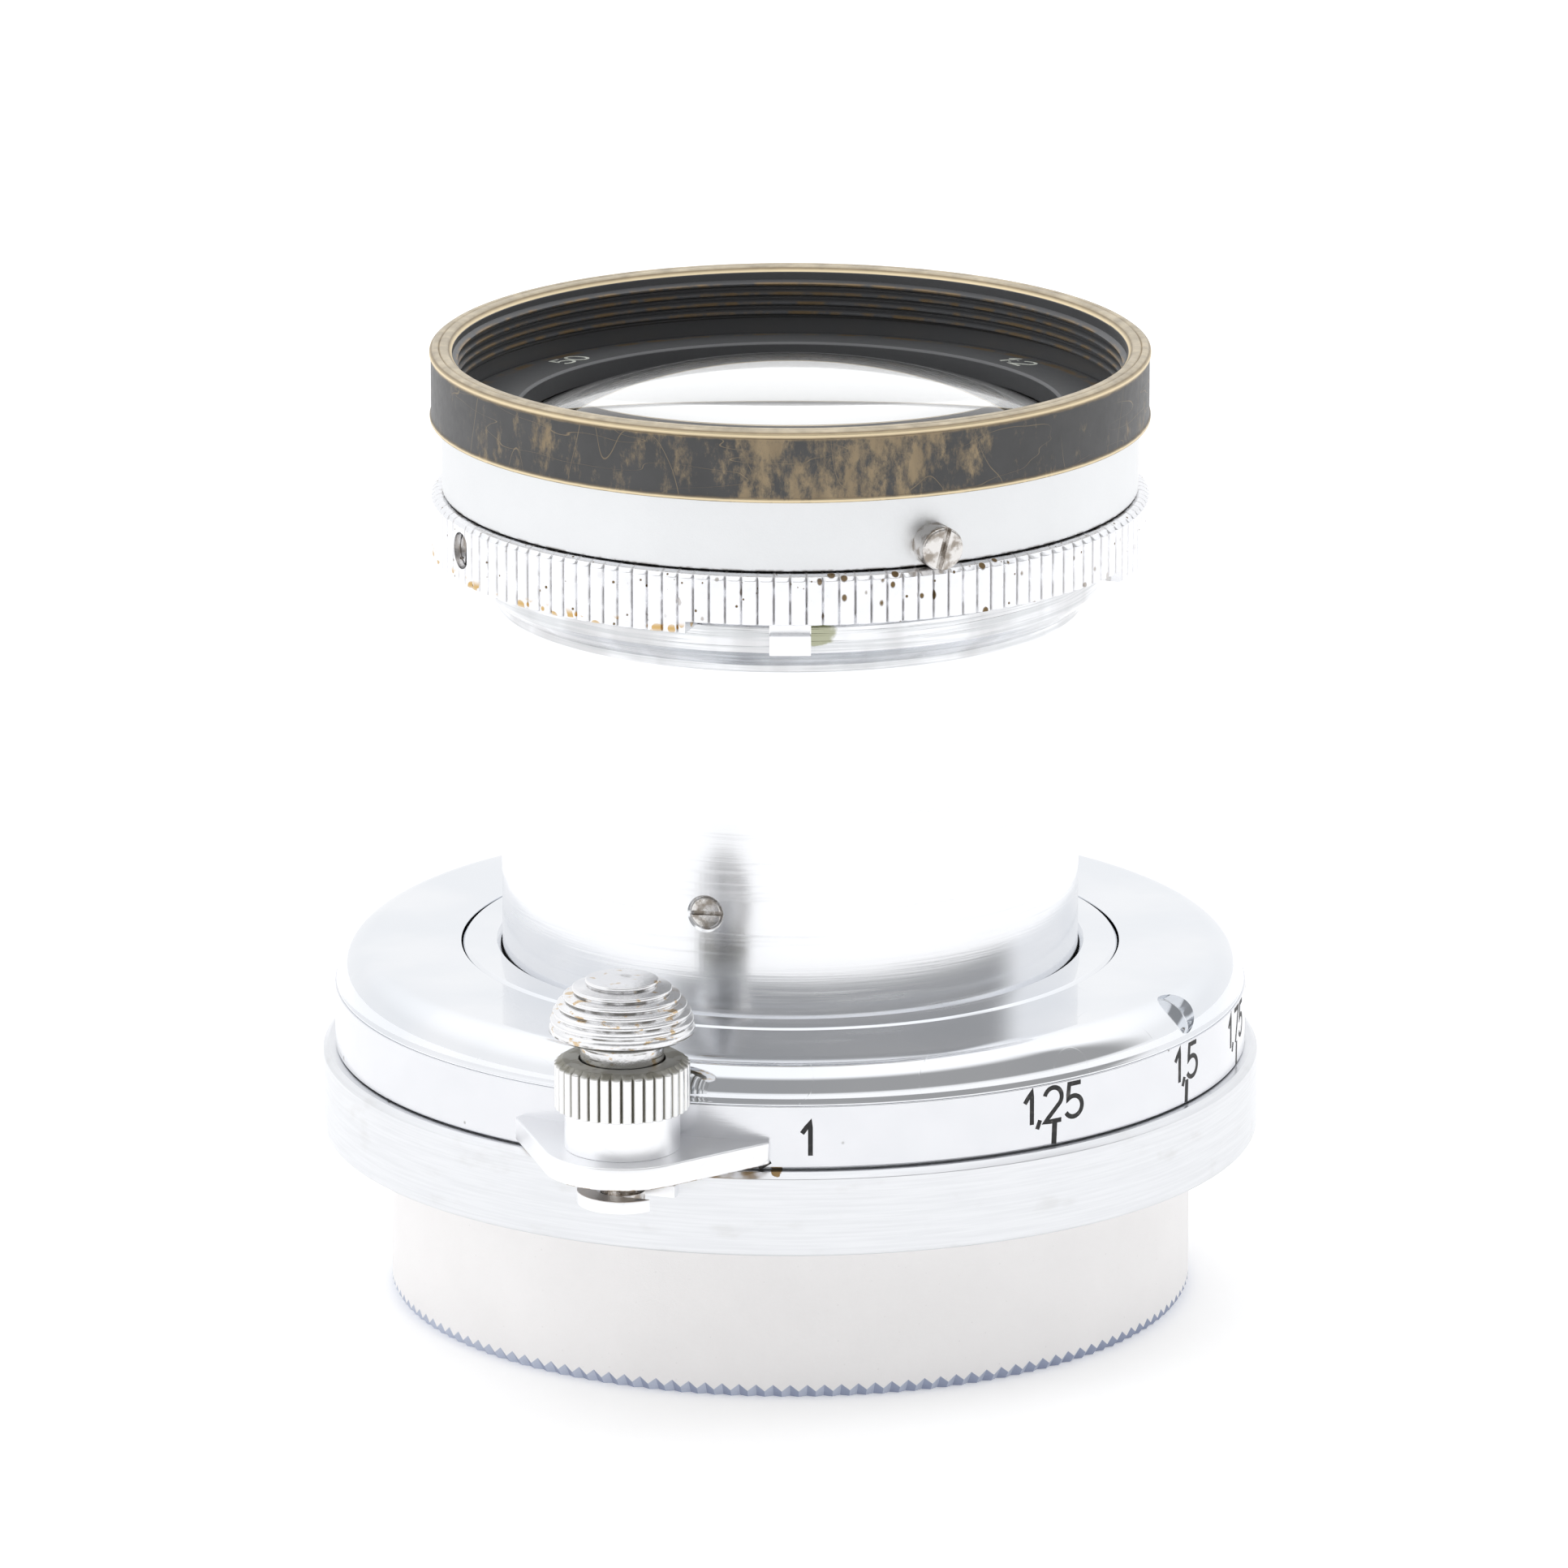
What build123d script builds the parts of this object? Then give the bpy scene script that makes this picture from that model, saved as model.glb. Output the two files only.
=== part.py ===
from build123d import *
import os
from math import acos, cos, degrees, pi, radians, sin, sqrt

# Collapsible 50 mm f/2 lens in a 39 mm screw mount, standing on its rear cap, drawn out and set to infinity.
# Millimetres. The lens axis is Z and the origin is the middle of the rear cap's outside face.
# A bearing is the angle round the lens axis from the front (-Y), positive towards +X.

# ---------------------------------------------------------------- rear cap
CAP_R = 20.2
CAP_H = 8.4
CAP_FLOOR = 0.7
CAP_TEETH = 150
CAP_TOOTH_H = 0.7
CAP_TOOTH_DEPTH = 0.45

# ---------------------------------------------------------------- mount
THREAD_R = 19.5
THREAD_FIT = 0.07
THREAD_Z = 3.6
THREAD_CHAMFER = 0.35
THREAD_TOP = 8.35
THREAD_NECK_R = 19.1
FLANGE_Z = CAP_H
FLANGE_R = 23.6
FLANGE_TOP = 12.65
FLANGE_CHAMFER = 0.3
FLANGE_EDGE = 0.15
WEB_Z = 10.0
WEB_TOP = 11.0
WEB_R = 22.2
HELICOID_R = 17.3
HELICOID_FIT = 0.06
MOUNT_TOP = 14.5
MOUNT_TOP_R = 19.1
FLANGE_SCREW_PCD_R = 21.3
FLANGE_SCREW_HEAD_R = 0.85
FLANGE_SCREW_HEAD_H = 0.6
FLANGE_SCREW_SHANK_R = 0.45
FLANGE_SCREW_LENGTH = 2.4
FLANGE_SCREW_SLOT_W = 0.25
RETAINER_R = 19.85
RETAINER_H = 1.0
RETAINER_BORE_R = 17.4

# ---------------------------------------------------------------- focusing ring
RUN_GAP = 0.07
SCALE_R = 22.97
SCALE_TOP = 15.88
SCALE_BORE_R = 20.9
SKIRT_R = 22.5
SKIRT_BORE_R = 21.3
SKIRT_Z = 11.15
COVER_R = 22.9
COVER_TOP = 17.9
COVER_WALL = 1.0
COVER_ROUND = 1.75
COVER_STEP = 0.12
COVER_FOOT_H = 0.2
COVER_SPIGOT_R = 20.25
COVER_SPIGOT_Z = 15.0
COVER_BORE_R = 16.58
KEY_W = 2.4
KEY_H = 0.85
KEY_IN_R = 15.95
KEY_OUT_R = 19.8
KEY_SCREW_PCD_R = 18.4
KEY_SCREW_R = 0.4
KEY_SCREW_HEAD_R = 0.7
KEY_SCREW_HEAD_H = 0.35
KEY_SCREW_LENGTH = 1.6
KEY_SCREW_SLOT_W = 0.2
KEY_SLOT_FIT = 0.08
KEY_SLOT_IN_R = 15.83
KEY_SLOT_RUN_OUT = 0.2
COLLAR_NOTCH_H = 0.35
COVER_SCREW_BEARING = 60.0
COVER_SCREW_SEAT_R = 22.1
COVER_SCREW_SEAT_Z = 17.15
COVER_SCREW_R = 0.75
COVER_SCREW_LENGTH = 2.0
COVER_SCREW_HOLE_DEPTH = 2.6
COVER_SCREW_SUNK = 0.6
COVER_SCREW_SLOT_W = 0.3
COVER_RECESS_R = 1.05
COVER_RECESS_DEPTH = 0.25

# ---------------------------------------------------------------- focusing lever and infinity lock
KNOB_ORBIT_R = 25.3
KNOB_BEARING = -18.9
LEVER_Z = 13.05
LEVER_TOP = 14.2
LEVER_END_R = 3.9
LEVER_BASE_R = 23.4
LEVER_ROOT_R = 21.9
LEVER_HALF_SPAN = 16.4
LEVER_SCREW_PCD_R = 22.43
LEVER_SCREW_SPREAD = 8.5
LEVER_SCREW_TOP = 15.4
LEVER_SCREW_R = 0.4
LEVER_SCREW_LENGTH = 2.2
SLEEVE_RIVET_R = 1.6
SLEEVE_R = 2.83
SLEEVE_TOP = 16.25
SLEEVE_SPIGOT_R = 2.5
SLEEVE_SPIGOT_TOP = 17.45
SPRING_CHAMBER_R = 1.75
SPRING_CHAMBER_Z = 14.9
COLLAR_R = 3.33
COLLAR_TOP = 18.7
COLLAR_RIDGES = 36
COLLAR_RIDGE_DEPTH = 0.22
COLLAR_BEVEL_H = 0.25
COLLAR_BEVEL_R = 0.4
KNOB_CLEARANCE = 0.1
NECK_R = 2.05
NECK_FIT = 0.08
NECK_Z = 18.6
BUTTON_R = 3.57
BUTTON_Z = 19.85
BUTTON_TOP = 22.87
BUTTON_RIDGES = 7
BUTTON_BRIM_H = 0.3
BUTTON_UNDERCUT = 0.45
BUTTON_DOME_POWER = 1.9
BUTTON_RIDGE_SHARE = 0.55
PIN_R = 0.75
PIN_FIT = 0.06
PIN_TOP = 20.65
PIN_FOOT_R = 1.1
PIN_FOOT_TOP = 11.95
SPRING_R = 1.4
SPRING_WIRE_R = 0.12
SPRING_TURNS = 5
SPRING_END_GAP = 0.03
CATCH_Z = 11.35
CATCH_TOP = 12.0
CATCH_R = 2.25
CATCH_ROOT_R = 22.92
CATCH_SLOT_FIT = 0.15

# ---------------------------------------------------------------- inner helicoid and collar
TUBE_FIT = 0.07
CAM_Z = 0.95
CAM_H = 1.3
CAM_R = 16.95
CAM_BORE_R = 15.55
HELICOID_TOP = 13.5
COLLAR_TUBE_R = 16.5
COLLAR_RING_Z = 16.6
COLLAR_RING_TOP = 17.95
FELT_GROOVE_Z = 15.3
FELT_GROOVE_R = 15.45
LUG_CHANNEL_R = 15.4
LUG_CHANNEL_TOP = 14.35
LUG_CHANNEL_START = 40.0
LUG_SPAN = 18.0
LUG_SIDE_GAP = 1.0
LUG_H = 1.35
LUG_FIT = 0.12
TWIST = 25.0
FOCUS_RISE = 2.98

COLLAR_EDGE = 0.15
COLLAR_BORE_CHAMFER = 0.2
FELT_GAP = 0.06

# ---------------------------------------------------------------- telescoping tube
TUBE_R = 14.51
TUBE_BORE_R = 13.7
TUBE_Z = 6.4
TUBE_TOP = 36.0
SET_SCREW_BEARING = -16.8
SET_SCREW_Z = 23.1
SET_SCREW_HEAD_R = 0.86
SET_SCREW_HEAD_H = 0.38
SET_SCREW_SHANK_R = 0.46
SET_SCREW_LENGTH = 1.95
SET_SCREW_SLOT_W = 0.28
SET_SCREW_SUNK = 0.05
SET_SCREW_ROLL = 88.0
SET_SCREW_HOLE_R = 0.5
SET_SCREW_SEAT_R = 0.9
SET_SCREW_SEAT_H = 0.4

# ---------------------------------------------------------------- head
LIP_Z = 35.66
LIP_R = 14.75
LIP_H = 0.35
HEAD_FLANGE_R = 15.75
HEAD_FLANGE_Z = 36.9
HEAD_FLANGE_TOP = 38.2
HEAD_R = 15.2
HEAD_BORE_R = 13.6
HEAD_SEAT_R = 14.4
HEAD_SEAT_Z = 41.2
HEAD_TOP = 44.3
STOP_W = 2.05
STOP_R = 16.5
STOP_TOP = 38.0
STOP_GAP = 0.03
STOP_TONGUE_TOP = 38.75
STOP_TONGUE_DEPTH = 0.6
BAND_R = 17.41
BAND_Z = 41.44
BAND_TOP = 45.04
BAND_COUNTERBORE_R = 17.1
BAND_COUNTERBORE_Z = 43.9
INDEX_SCREW_BEARING = 23.6
INDEX_SCREW_Z = 42.5
INDEX_SCREW_HEAD_R = 1.1
INDEX_SCREW_HEAD_H = 1.25
INDEX_SCREW_PROUD = 1.3
INDEX_SCREW_R = 0.55
INDEX_SCREW_LENGTH = 2.75
INDEX_SCREW_SLOT_W = 0.36
INDEX_SCREW_ROLL = 15.0
BAND_EDGE = 0.1
FRONT_RING_R = 18.0
FRONT_THREAD_R = 16.85
FRONT_THREAD_Z = 47.35
FRONT_SPIGOT_BORE_R = 16.95
FRONT_RELIEF_R = 17.25
FRONT_RELIEF_Z = 45.5
RIM_TOP = 48.62
RIM_CHAMFER_H = 0.3
RIM_OUTER_CHAMFER = 0.25
RIM_INNER_CHAMFER = 0.35
NAME_RING_R = 16.9
NAME_RING_BORE_R = 13.6
NAME_RING_Z = 44.38
NAME_RING_TOP = 45.45
NAME_RING_EDGE_TOP = 45.15
NAME_RING_BORE_EDGE_R = 0.15
NAME_RING_BORE_EDGE_H = 0.1

# ---------------------------------------------------------------- aperture ring and iris
APERTURE_R = 17.96
APERTURE_BORE_R = 15.27
APERTURE_Z = 38.28
APERTURE_TOP = 41.38
APERTURE_LAND = 0.3
APERTURE_LAND_BEVEL = 0.15
FLUTES = 140
FLUTE_DEPTH = 0.26
CUTAWAY_START = -16.6
CUTAWAY_END = 66.0
CUTAWAY_TOP = 38.86
GRUB_BEARING = -66.0
GRUB_Z = 39.9
GRUB_HEAD_R = 0.9
GRUB_HEAD_H = 1.6
GRUB_PIN_R = 0.45
GRUB_LENGTH = 4.4
GRUB_SUNK = 0.5
GRUB_SLOT_W = 0.35
GRUB_ROLL = 60.0
GRUB_SLOT_HALF_H = 0.6
GRUB_SLOT_MARGIN = 4.0
STOP_DOWN = 61.0
OPEN_UP = 12.0
ACTUATOR_R = 13.45
ACTUATOR_WALL = 0.5
ACTUATOR_Z = 31.0
ACTUATOR_TOP = 40.8
ACTUATOR_PLATE_H = 0.4
IRIS_FLOOR_Z = 28.3
IRIS_FLOOR_TOP = 28.8
IRIS_HOUSING_TOP = 30.9
IRIS_CHAMBER_R = 12.7
IRIS_OPEN_R = 8.75
IRIS_PLATE_R = 9.2
IRIS_SKIRT_Z = 21.5
BLADES = 6
BLADE_PIVOT_R = 12.0
BLADE_INNER_R = 8.9
BLADE_OUTER_R = 11.5
BLADE_SPAN = 112.0
BLADE_T = 0.08
BLADE_Z = 29.0
BLADE_LEVEL_STEP = 0.16
BLADE_EYE_R = 0.55
BLADE_STUD_R = 0.25
BLADE_STUD_FIT = 0.05
BLADE_STUD_FOOT_Z = 28.5
BLADE_HOLE_FLOOR_Z = 28.4
BLADE_TURN_PER_RING_TURN = 0.5

# ---------------------------------------------------------------- glass
# R is a rim radius, Z the height of a surface on the axis and CURVE its radius of curvature,
# positive when its centre lies behind the surface.
FRONT_ELEMENT_R = 13.7
FRONT_VERTEX_Z = 47.3
FRONT_VERTEX_CURVE = 33.0
FRONT_BACK_Z = 43.1
FRONT_BACK_CURVE = 98.0
FRONT_DOUBLET_R = 11.6
FRONT_DOUBLET_Z = 42.7
FRONT_DOUBLET_CURVE = 19.0
FRONT_CEMENT_Z = 37.3
FRONT_CEMENT_CURVE = 58.0
FRONT_DOUBLET_BACK_Z = 35.6
FRONT_DOUBLET_BACK_CURVE = 12.4
FRONT_DOUBLET_BACK_CLEAR_R = 8.9
REAR_DOUBLET_R = 10.2
REAR_DOUBLET_Z = 25.1
REAR_DOUBLET_CURVE = -14.0
REAR_DOUBLET_CLEAR_R = 8.6
REAR_CEMENT_Z = 23.6
REAR_CEMENT_CURVE = 45.0
REAR_DOUBLET_BACK_Z = 17.6
REAR_DOUBLET_BACK_CURVE = -19.0
REAR_ELEMENT_R = 10.8
REAR_ELEMENT_Z = 17.3
REAR_ELEMENT_CURVE = 90.0
REAR_ELEMENT_BACK_Z = 13.9
REAR_ELEMENT_BACK_CURVE = -36.0
REAR_CELL_R = 12.4
REAR_CELL_Z = 13.2
REAR_CELL_TOP = 28.25
REAR_CELL_STEP_Z = 20.2
FRONT_CELL_R = 12.8
FRONT_CELL_Z = 31.6
FRONT_CELL_BORE_R = 9.6
FRONT_SEAT_STEP = 0.3
SPACER_WALL = 0.5
RETAINER_WALL = 1.0


# ================================================================ shared shapes

def bearing_point(radius, bearing, z=0.0):
    """Point at a bearing round the lens axis."""
    angle = radians(bearing)
    return Vector(radius * sin(angle), -radius * cos(angle), z)


def outward(bearing):
    """Unit vector pointing away from the lens axis at a bearing."""
    return bearing_point(1.0, bearing)


def disc(radius, z_low, z_high, centre=(0.0, 0.0)):
    """Upright cylinder between two heights."""
    return Pos(centre[0], centre[1], z_low) * raised(radius, z_high - z_low)


def bored(radius, depth):
    """Cylinder along -Z with its top at the origin, as drilled from a face."""
    return Cylinder(radius, depth, align=(Align.CENTER, Align.CENTER, Align.MAX))


def raised(radius, height):
    """Cylinder along +Z standing on the origin."""
    return Cylinder(radius, height, align=(Align.CENTER, Align.CENTER, Align.MIN))


def ring(outer_r, inner_r, z_low, z_high):
    """Plain ring between two heights."""
    return disc(outer_r, z_low, z_high) - disc(inner_r, z_low - 1, z_high + 1)


def lathe(outline):
    """Solid turned round the lens axis from (radius, height) corners."""
    profile = make_face(Plane.XZ * Polyline(*outline, close=True))
    return revolve(profile, Axis.Z, 360)


def sector(outer_r, inner_r, start, end, z_low, z_high):
    """Part of a ring between two bearings."""
    reach = outer_r / cos(radians((end - start) / 4)) + 1
    middle = (start + end) / 2
    corners = [bearing_point(reach, bearing) for bearing in (start, middle, end)]
    fan = make_face(Polyline((0, 0, 0), *corners, close=True))
    wedge = Pos(0, 0, z_low) * extrude(fan, amount=z_high - z_low, dir=(0, 0, 1))
    return wedge & ring(outer_r, inner_r, z_low, z_high)


def fluted_disc(tip_r, depth, count, z_low, z_high):
    """Upright disc with V-shaped flutes cut all round its edge."""
    corners = []
    for index in range(2 * count):
        radius = tip_r if index % 2 == 0 else tip_r - depth
        angle = pi * index / count
        corners.append((radius * cos(angle), radius * sin(angle)))
    face = make_face(Polyline(*corners, close=True))
    return Pos(0, 0, z_low) * extrude(face, amount=z_high - z_low, dir=(0, 0, 1))


def slotted_screw(head_r, head_h, shank_r, length, slot_w, countersunk=False):
    """Slotted screw along +Z with the top of its head at the origin."""
    head = bored(head_r, head_h)
    if countersunk:
        head = Pos(0, 0, -head_h / 2) * Cone(shank_r, head_r, head_h)
    return head + bored(shank_r, length) - Box(3 * head_r, slot_w, head_h)


def radial_place(bearing, radius, z, roll=0.0):
    """Frame whose +Z points outward at a bearing."""
    frame = Plane(origin=bearing_point(radius, bearing, z), x_dir=(0, 0, 1), z_dir=outward(bearing))
    return frame * Rot(0, 0, roll)


def knob_centre():
    """Where the knob's own axis crosses the XY plane."""
    return bearing_point(KNOB_ORBIT_R, KNOB_BEARING)


def disc_at_knob(radius, z_low, z_high):
    """Upright cylinder on the knob's axis."""
    centre = knob_centre()
    return disc(radius, z_low, z_high, (centre.X, centre.Y))


# ================================================================ rear cap

def rear_cap():
    """Shallow screw-on cap with a milled bottom corner."""
    shell = disc(CAP_R, CAP_TOOTH_H, CAP_H)
    shell = shell - disc(THREAD_R + THREAD_FIT, CAP_FLOOR, CAP_H + 1)
    teeth = fluted_disc(CAP_R, CAP_TOOTH_DEPTH, CAP_TEETH, 0, CAP_TOOTH_H)
    bevel = lathe([(0, 0), (CAP_R - CAP_TOOTH_DEPTH, 0), (CAP_R, CAP_TOOTH_H), (0, CAP_TOOTH_H)])
    return shell + (teeth & bevel)


# ================================================================ mount

def flange_screw_places():
    """Where the flange screws stand, head face on the mounting flange."""
    return [Pos(*bearing_point(FLANGE_SCREW_PCD_R, 60 + 120 * index, FLANGE_Z)) * Rot(180, 0, 0)
            for index in range(3)]


def flange_screw():
    """Countersunk screw between the flange ring and the mount barrel."""
    return slotted_screw(FLANGE_SCREW_HEAD_R, FLANGE_SCREW_HEAD_H, FLANGE_SCREW_SHANK_R, FLANGE_SCREW_LENGTH,
                         FLANGE_SCREW_SLOT_W, countersunk=True)


def mount_barrel():
    """Threaded mount barrel with the web that carries the flange ring and the fixed helicoid in its bore."""
    body = lathe([
        (HELICOID_R, THREAD_Z), (THREAD_R - THREAD_CHAMFER, THREAD_Z), (THREAD_R, THREAD_Z + THREAD_CHAMFER),
        (THREAD_R, THREAD_TOP), (THREAD_NECK_R, THREAD_TOP), (THREAD_NECK_R, WEB_Z), (WEB_R, WEB_Z),
        (WEB_R, WEB_TOP), (MOUNT_TOP_R, WEB_TOP), (MOUNT_TOP_R, MOUNT_TOP), (HELICOID_R, MOUNT_TOP)])
    for place in flange_screw_places():
        body = body - place * screw_hole()
    return body


def flange_ring():
    """Fixed outer ring: mounting face below, well for the focusing ring's skirt above."""
    body = lathe([
        (THREAD_NECK_R, FLANGE_Z), (FLANGE_R - FLANGE_EDGE, FLANGE_Z), (FLANGE_R, FLANGE_Z + FLANGE_EDGE),
        (FLANGE_R, FLANGE_TOP - FLANGE_CHAMFER), (FLANGE_R - FLANGE_CHAMFER, FLANGE_TOP),
        (SKIRT_R + RUN_GAP, FLANGE_TOP), (SKIRT_R + RUN_GAP, WEB_Z), (THREAD_NECK_R, WEB_Z)])
    for place in flange_screw_places():
        body = body - place * screw_hole()
    return body - catch_blank()


def screw_hole():
    """Countersunk hole that a flange screw fills."""
    head = Cone(FLANGE_SCREW_SHANK_R, FLANGE_SCREW_HEAD_R, FLANGE_SCREW_HEAD_H)
    return Pos(0, 0, -FLANGE_SCREW_HEAD_H / 2) * head + bored(FLANGE_SCREW_SHANK_R, FLANGE_SCREW_LENGTH)


def catch_blank():
    """Tongue let into the flange ring and reaching out under the lever."""
    centre = knob_centre()
    length = KNOB_ORBIT_R - CATCH_ROOT_R
    bar = Box(2 * CATCH_R, length, CATCH_TOP - CATCH_Z, align=(Align.CENTER, Align.MIN, Align.MIN))
    bar = Pos(*centre) * Rot(0, 0, KNOB_BEARING) * Pos(0, 0, CATCH_Z) * bar
    return bar + disc_at_knob(CATCH_R, CATCH_Z, CATCH_TOP)


def infinity_catch():
    """Catch plate with an open slot that the lock pin's foot rests in."""
    centre = knob_centre()
    half_slot = PIN_FOOT_R + CATCH_SLOT_FIT
    slot = Box(3 * CATCH_R, 2 * half_slot, 2, align=(Align.MIN, Align.CENTER, Align.CENTER))
    slot = Pos(centre.X, centre.Y, CATCH_Z) * Rot(0, 0, KNOB_BEARING) * slot
    return catch_blank() - slot - disc_at_knob(half_slot, CATCH_Z - 1, CATCH_TOP + 1)


def focus_retaining_ring():
    """Ring screwed on the mount barrel that holds the focusing ring down."""
    return ring(RETAINER_R, RETAINER_BORE_R, MOUNT_TOP, MOUNT_TOP + RETAINER_H)


# ================================================================ focusing ring

def scale_ring():
    """Ring that carries the distance scale, with its bearing skirt and the ledge under the retaining ring."""
    floor_z = FLANGE_TOP + RUN_GAP
    body = lathe([
        (SKIRT_BORE_R, SKIRT_Z), (SKIRT_R, SKIRT_Z), (SKIRT_R, floor_z), (SCALE_R, floor_z),
        (SCALE_R, SCALE_TOP), (SCALE_BORE_R, SCALE_TOP), (SCALE_BORE_R, MOUNT_TOP - RUN_GAP),
        (MOUNT_TOP_R + RUN_GAP, MOUNT_TOP - RUN_GAP), (MOUNT_TOP_R + RUN_GAP, floor_z),
        (SKIRT_BORE_R, floor_z)])
    body = body - lever_blank() - disc_at_knob(SLEEVE_R + KNOB_CLEARANCE, LEVER_TOP, SCALE_TOP + 1)
    for place in lever_screw_places():
        body = body - place * bored(LEVER_SCREW_R, LEVER_SCREW_LENGTH)
    return body - cover_screw_blank()


def cover_blank():
    """Shoulder cover before its screw hole is drilled."""
    slope_r = COVER_R - COVER_STEP
    blank = lathe([
        (COVER_BORE_R, COVER_TOP - COVER_WALL), (COVER_SPIGOT_R, COVER_TOP - COVER_WALL),
        (COVER_SPIGOT_R, COVER_SPIGOT_Z), (SCALE_BORE_R, COVER_SPIGOT_Z), (SCALE_BORE_R, SCALE_TOP),
        (COVER_R, SCALE_TOP), (slope_r, SCALE_TOP + COVER_FOOT_H), (slope_r, COVER_TOP),
        (COVER_BORE_R, COVER_TOP)])
    shoulder = blank.edges().filter_by(GeomType.CIRCLE).filter_by(
        lambda edge: abs(edge.radius - slope_r) < 0.01 and abs(edge.center().Z - COVER_TOP) < 0.01)
    return fillet(shoulder, COVER_ROUND)


def cover_screw_place():
    """Slanted seat of the grub screw that locks the cover to the scale ring."""
    seat = bearing_point(COVER_SCREW_SEAT_R, COVER_SCREW_BEARING, COVER_SCREW_SEAT_Z)
    slant = outward(COVER_SCREW_BEARING) + Vector(0, 0, 1)
    return Plane(origin=seat, z_dir=slant)


def cover_screw_blank():
    """Hole of the cover's grub screw."""
    return cover_screw_place() * bored(COVER_SCREW_R, COVER_SCREW_HOLE_DEPTH)


def shoulder_cover():
    """Polished rounded cover over the focusing ring."""
    recess = cover_screw_place() * Pos(0, 0, -COVER_RECESS_DEPTH) * raised(COVER_RECESS_R, COVER_ROUND)
    body = cover_blank() - recess - cover_screw_blank()
    body = body - disc_at_knob(SLEEVE_R + KNOB_CLEARANCE, SCALE_TOP - 1, COVER_TOP + 1)
    body = body - disc_at_knob(COLLAR_R + KNOB_CLEARANCE, SLEEVE_TOP - KNOB_CLEARANCE, COVER_TOP + 1)
    for place in key_screw_places():
        body = body - place * raised(KEY_SCREW_R, KEY_SCREW_LENGTH - KEY_SCREW_HEAD_H)
    return body


def cover_grub_screw():
    """Headless slotted screw in the shoulder cover."""
    slot = Box(3 * COVER_SCREW_R, COVER_SCREW_SLOT_W, COVER_SCREW_R)
    screw = bored(COVER_SCREW_R, COVER_SCREW_LENGTH) - slot
    return cover_screw_place() * Pos(0, 0, -COVER_SCREW_SUNK) * screw


def key_bearings():
    """Bearings of the two drive keys, square to the lever."""
    return (KNOB_BEARING + 90, KNOB_BEARING - 90)


def key_screw_places():
    """Underside of each drive key, where its screw goes up into the cover."""
    key_z = COVER_TOP - COVER_WALL - KEY_H
    return [Pos(*bearing_point(KEY_SCREW_PCD_R, bearing, key_z)) for bearing in key_bearings()]


def drive_keys():
    """Two keys under the cover that reach into slots of the inner helicoid and turn it."""
    keys = []
    for bearing in key_bearings():
        bar = Box(KEY_W, KEY_OUT_R - KEY_IN_R, KEY_H, align=(Align.CENTER, Align.MAX, Align.MAX))
        keys.append(Rot(0, 0, bearing) * Pos(0, -KEY_IN_R, COVER_TOP - COVER_WALL) * bar)
    solid = Part() + keys
    for place in key_screw_places():
        solid = solid - place * raised(KEY_SCREW_R, KEY_H)
    return solid


def key_screws():
    """Screws that hold the drive keys."""
    screw = slotted_screw(KEY_SCREW_HEAD_R, KEY_SCREW_HEAD_H, KEY_SCREW_R, KEY_SCREW_LENGTH, KEY_SCREW_SLOT_W)
    upright = Rot(180, 0, 0) * Pos(0, 0, KEY_SCREW_HEAD_H) * screw
    return [place * upright for place in key_screw_places()]


# ================================================================ focusing lever and infinity lock

def lever_blank():
    """Lever plate: a root let into the scale ring, tapering out to a round end."""
    centre = knob_centre()
    left = bearing_point(LEVER_BASE_R, KNOB_BEARING - LEVER_HALF_SPAN)
    right = bearing_point(LEVER_BASE_R, KNOB_BEARING + LEVER_HALF_SPAN)
    left_touch = tangent_point(centre, left, 1)
    right_touch = tangent_point(centre, right, -1)
    inner_left = bearing_point(LEVER_ROOT_R, KNOB_BEARING - LEVER_HALF_SPAN)
    inner_right = bearing_point(LEVER_ROOT_R, KNOB_BEARING + LEVER_HALF_SPAN)
    outline = Polyline(inner_left, left, left_touch, right_touch, right, inner_right, close=True)
    plate = extrude(make_face(outline), amount=LEVER_TOP - LEVER_Z, dir=(0, 0, 1))
    plate = Pos(0, 0, LEVER_Z) * plate + disc(LEVER_END_R, LEVER_Z, LEVER_TOP, (centre.X, centre.Y))
    root = sector(LEVER_BASE_R, LEVER_ROOT_R, KNOB_BEARING - LEVER_HALF_SPAN,
                  KNOB_BEARING + LEVER_HALF_SPAN, LEVER_Z, LEVER_TOP)
    return plate + root - disc(LEVER_ROOT_R, LEVER_Z - 1, LEVER_TOP + 1)


def tangent_point(centre, corner, side):
    """Where a line from a corner touches the lever's round end."""
    reach = corner - centre
    turn = degrees(acos(LEVER_END_R / reach.length))
    return centre + reach.normalized().rotate(Axis.Z, side * turn) * LEVER_END_R


def lever_screw_places():
    """Top ends of the two lever screws inside the scale ring's wall."""
    return [Pos(*bearing_point(LEVER_SCREW_PCD_R, KNOB_BEARING + side * LEVER_SCREW_SPREAD, LEVER_SCREW_TOP))
            for side in (-1, 1)]


def focus_lever():
    """Lever plate with the hole for the knob sleeve."""
    centre = knob_centre()
    body = lever_blank() - disc(SLEEVE_RIVET_R, LEVER_Z - 1, LEVER_TOP + 1, (centre.X, centre.Y))
    for place in lever_screw_places():
        body = body - place * bored(LEVER_SCREW_R, LEVER_SCREW_LENGTH)
    return body


def lever_screws():
    """Headless screws that pin the lever to the scale ring."""
    return [place * bored(LEVER_SCREW_R, LEVER_SCREW_LENGTH) for place in lever_screw_places()]


def knob_part(outline):
    """Solid turned round the knob's own axis."""
    return Pos(*knob_centre()) * lathe(outline)


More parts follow.
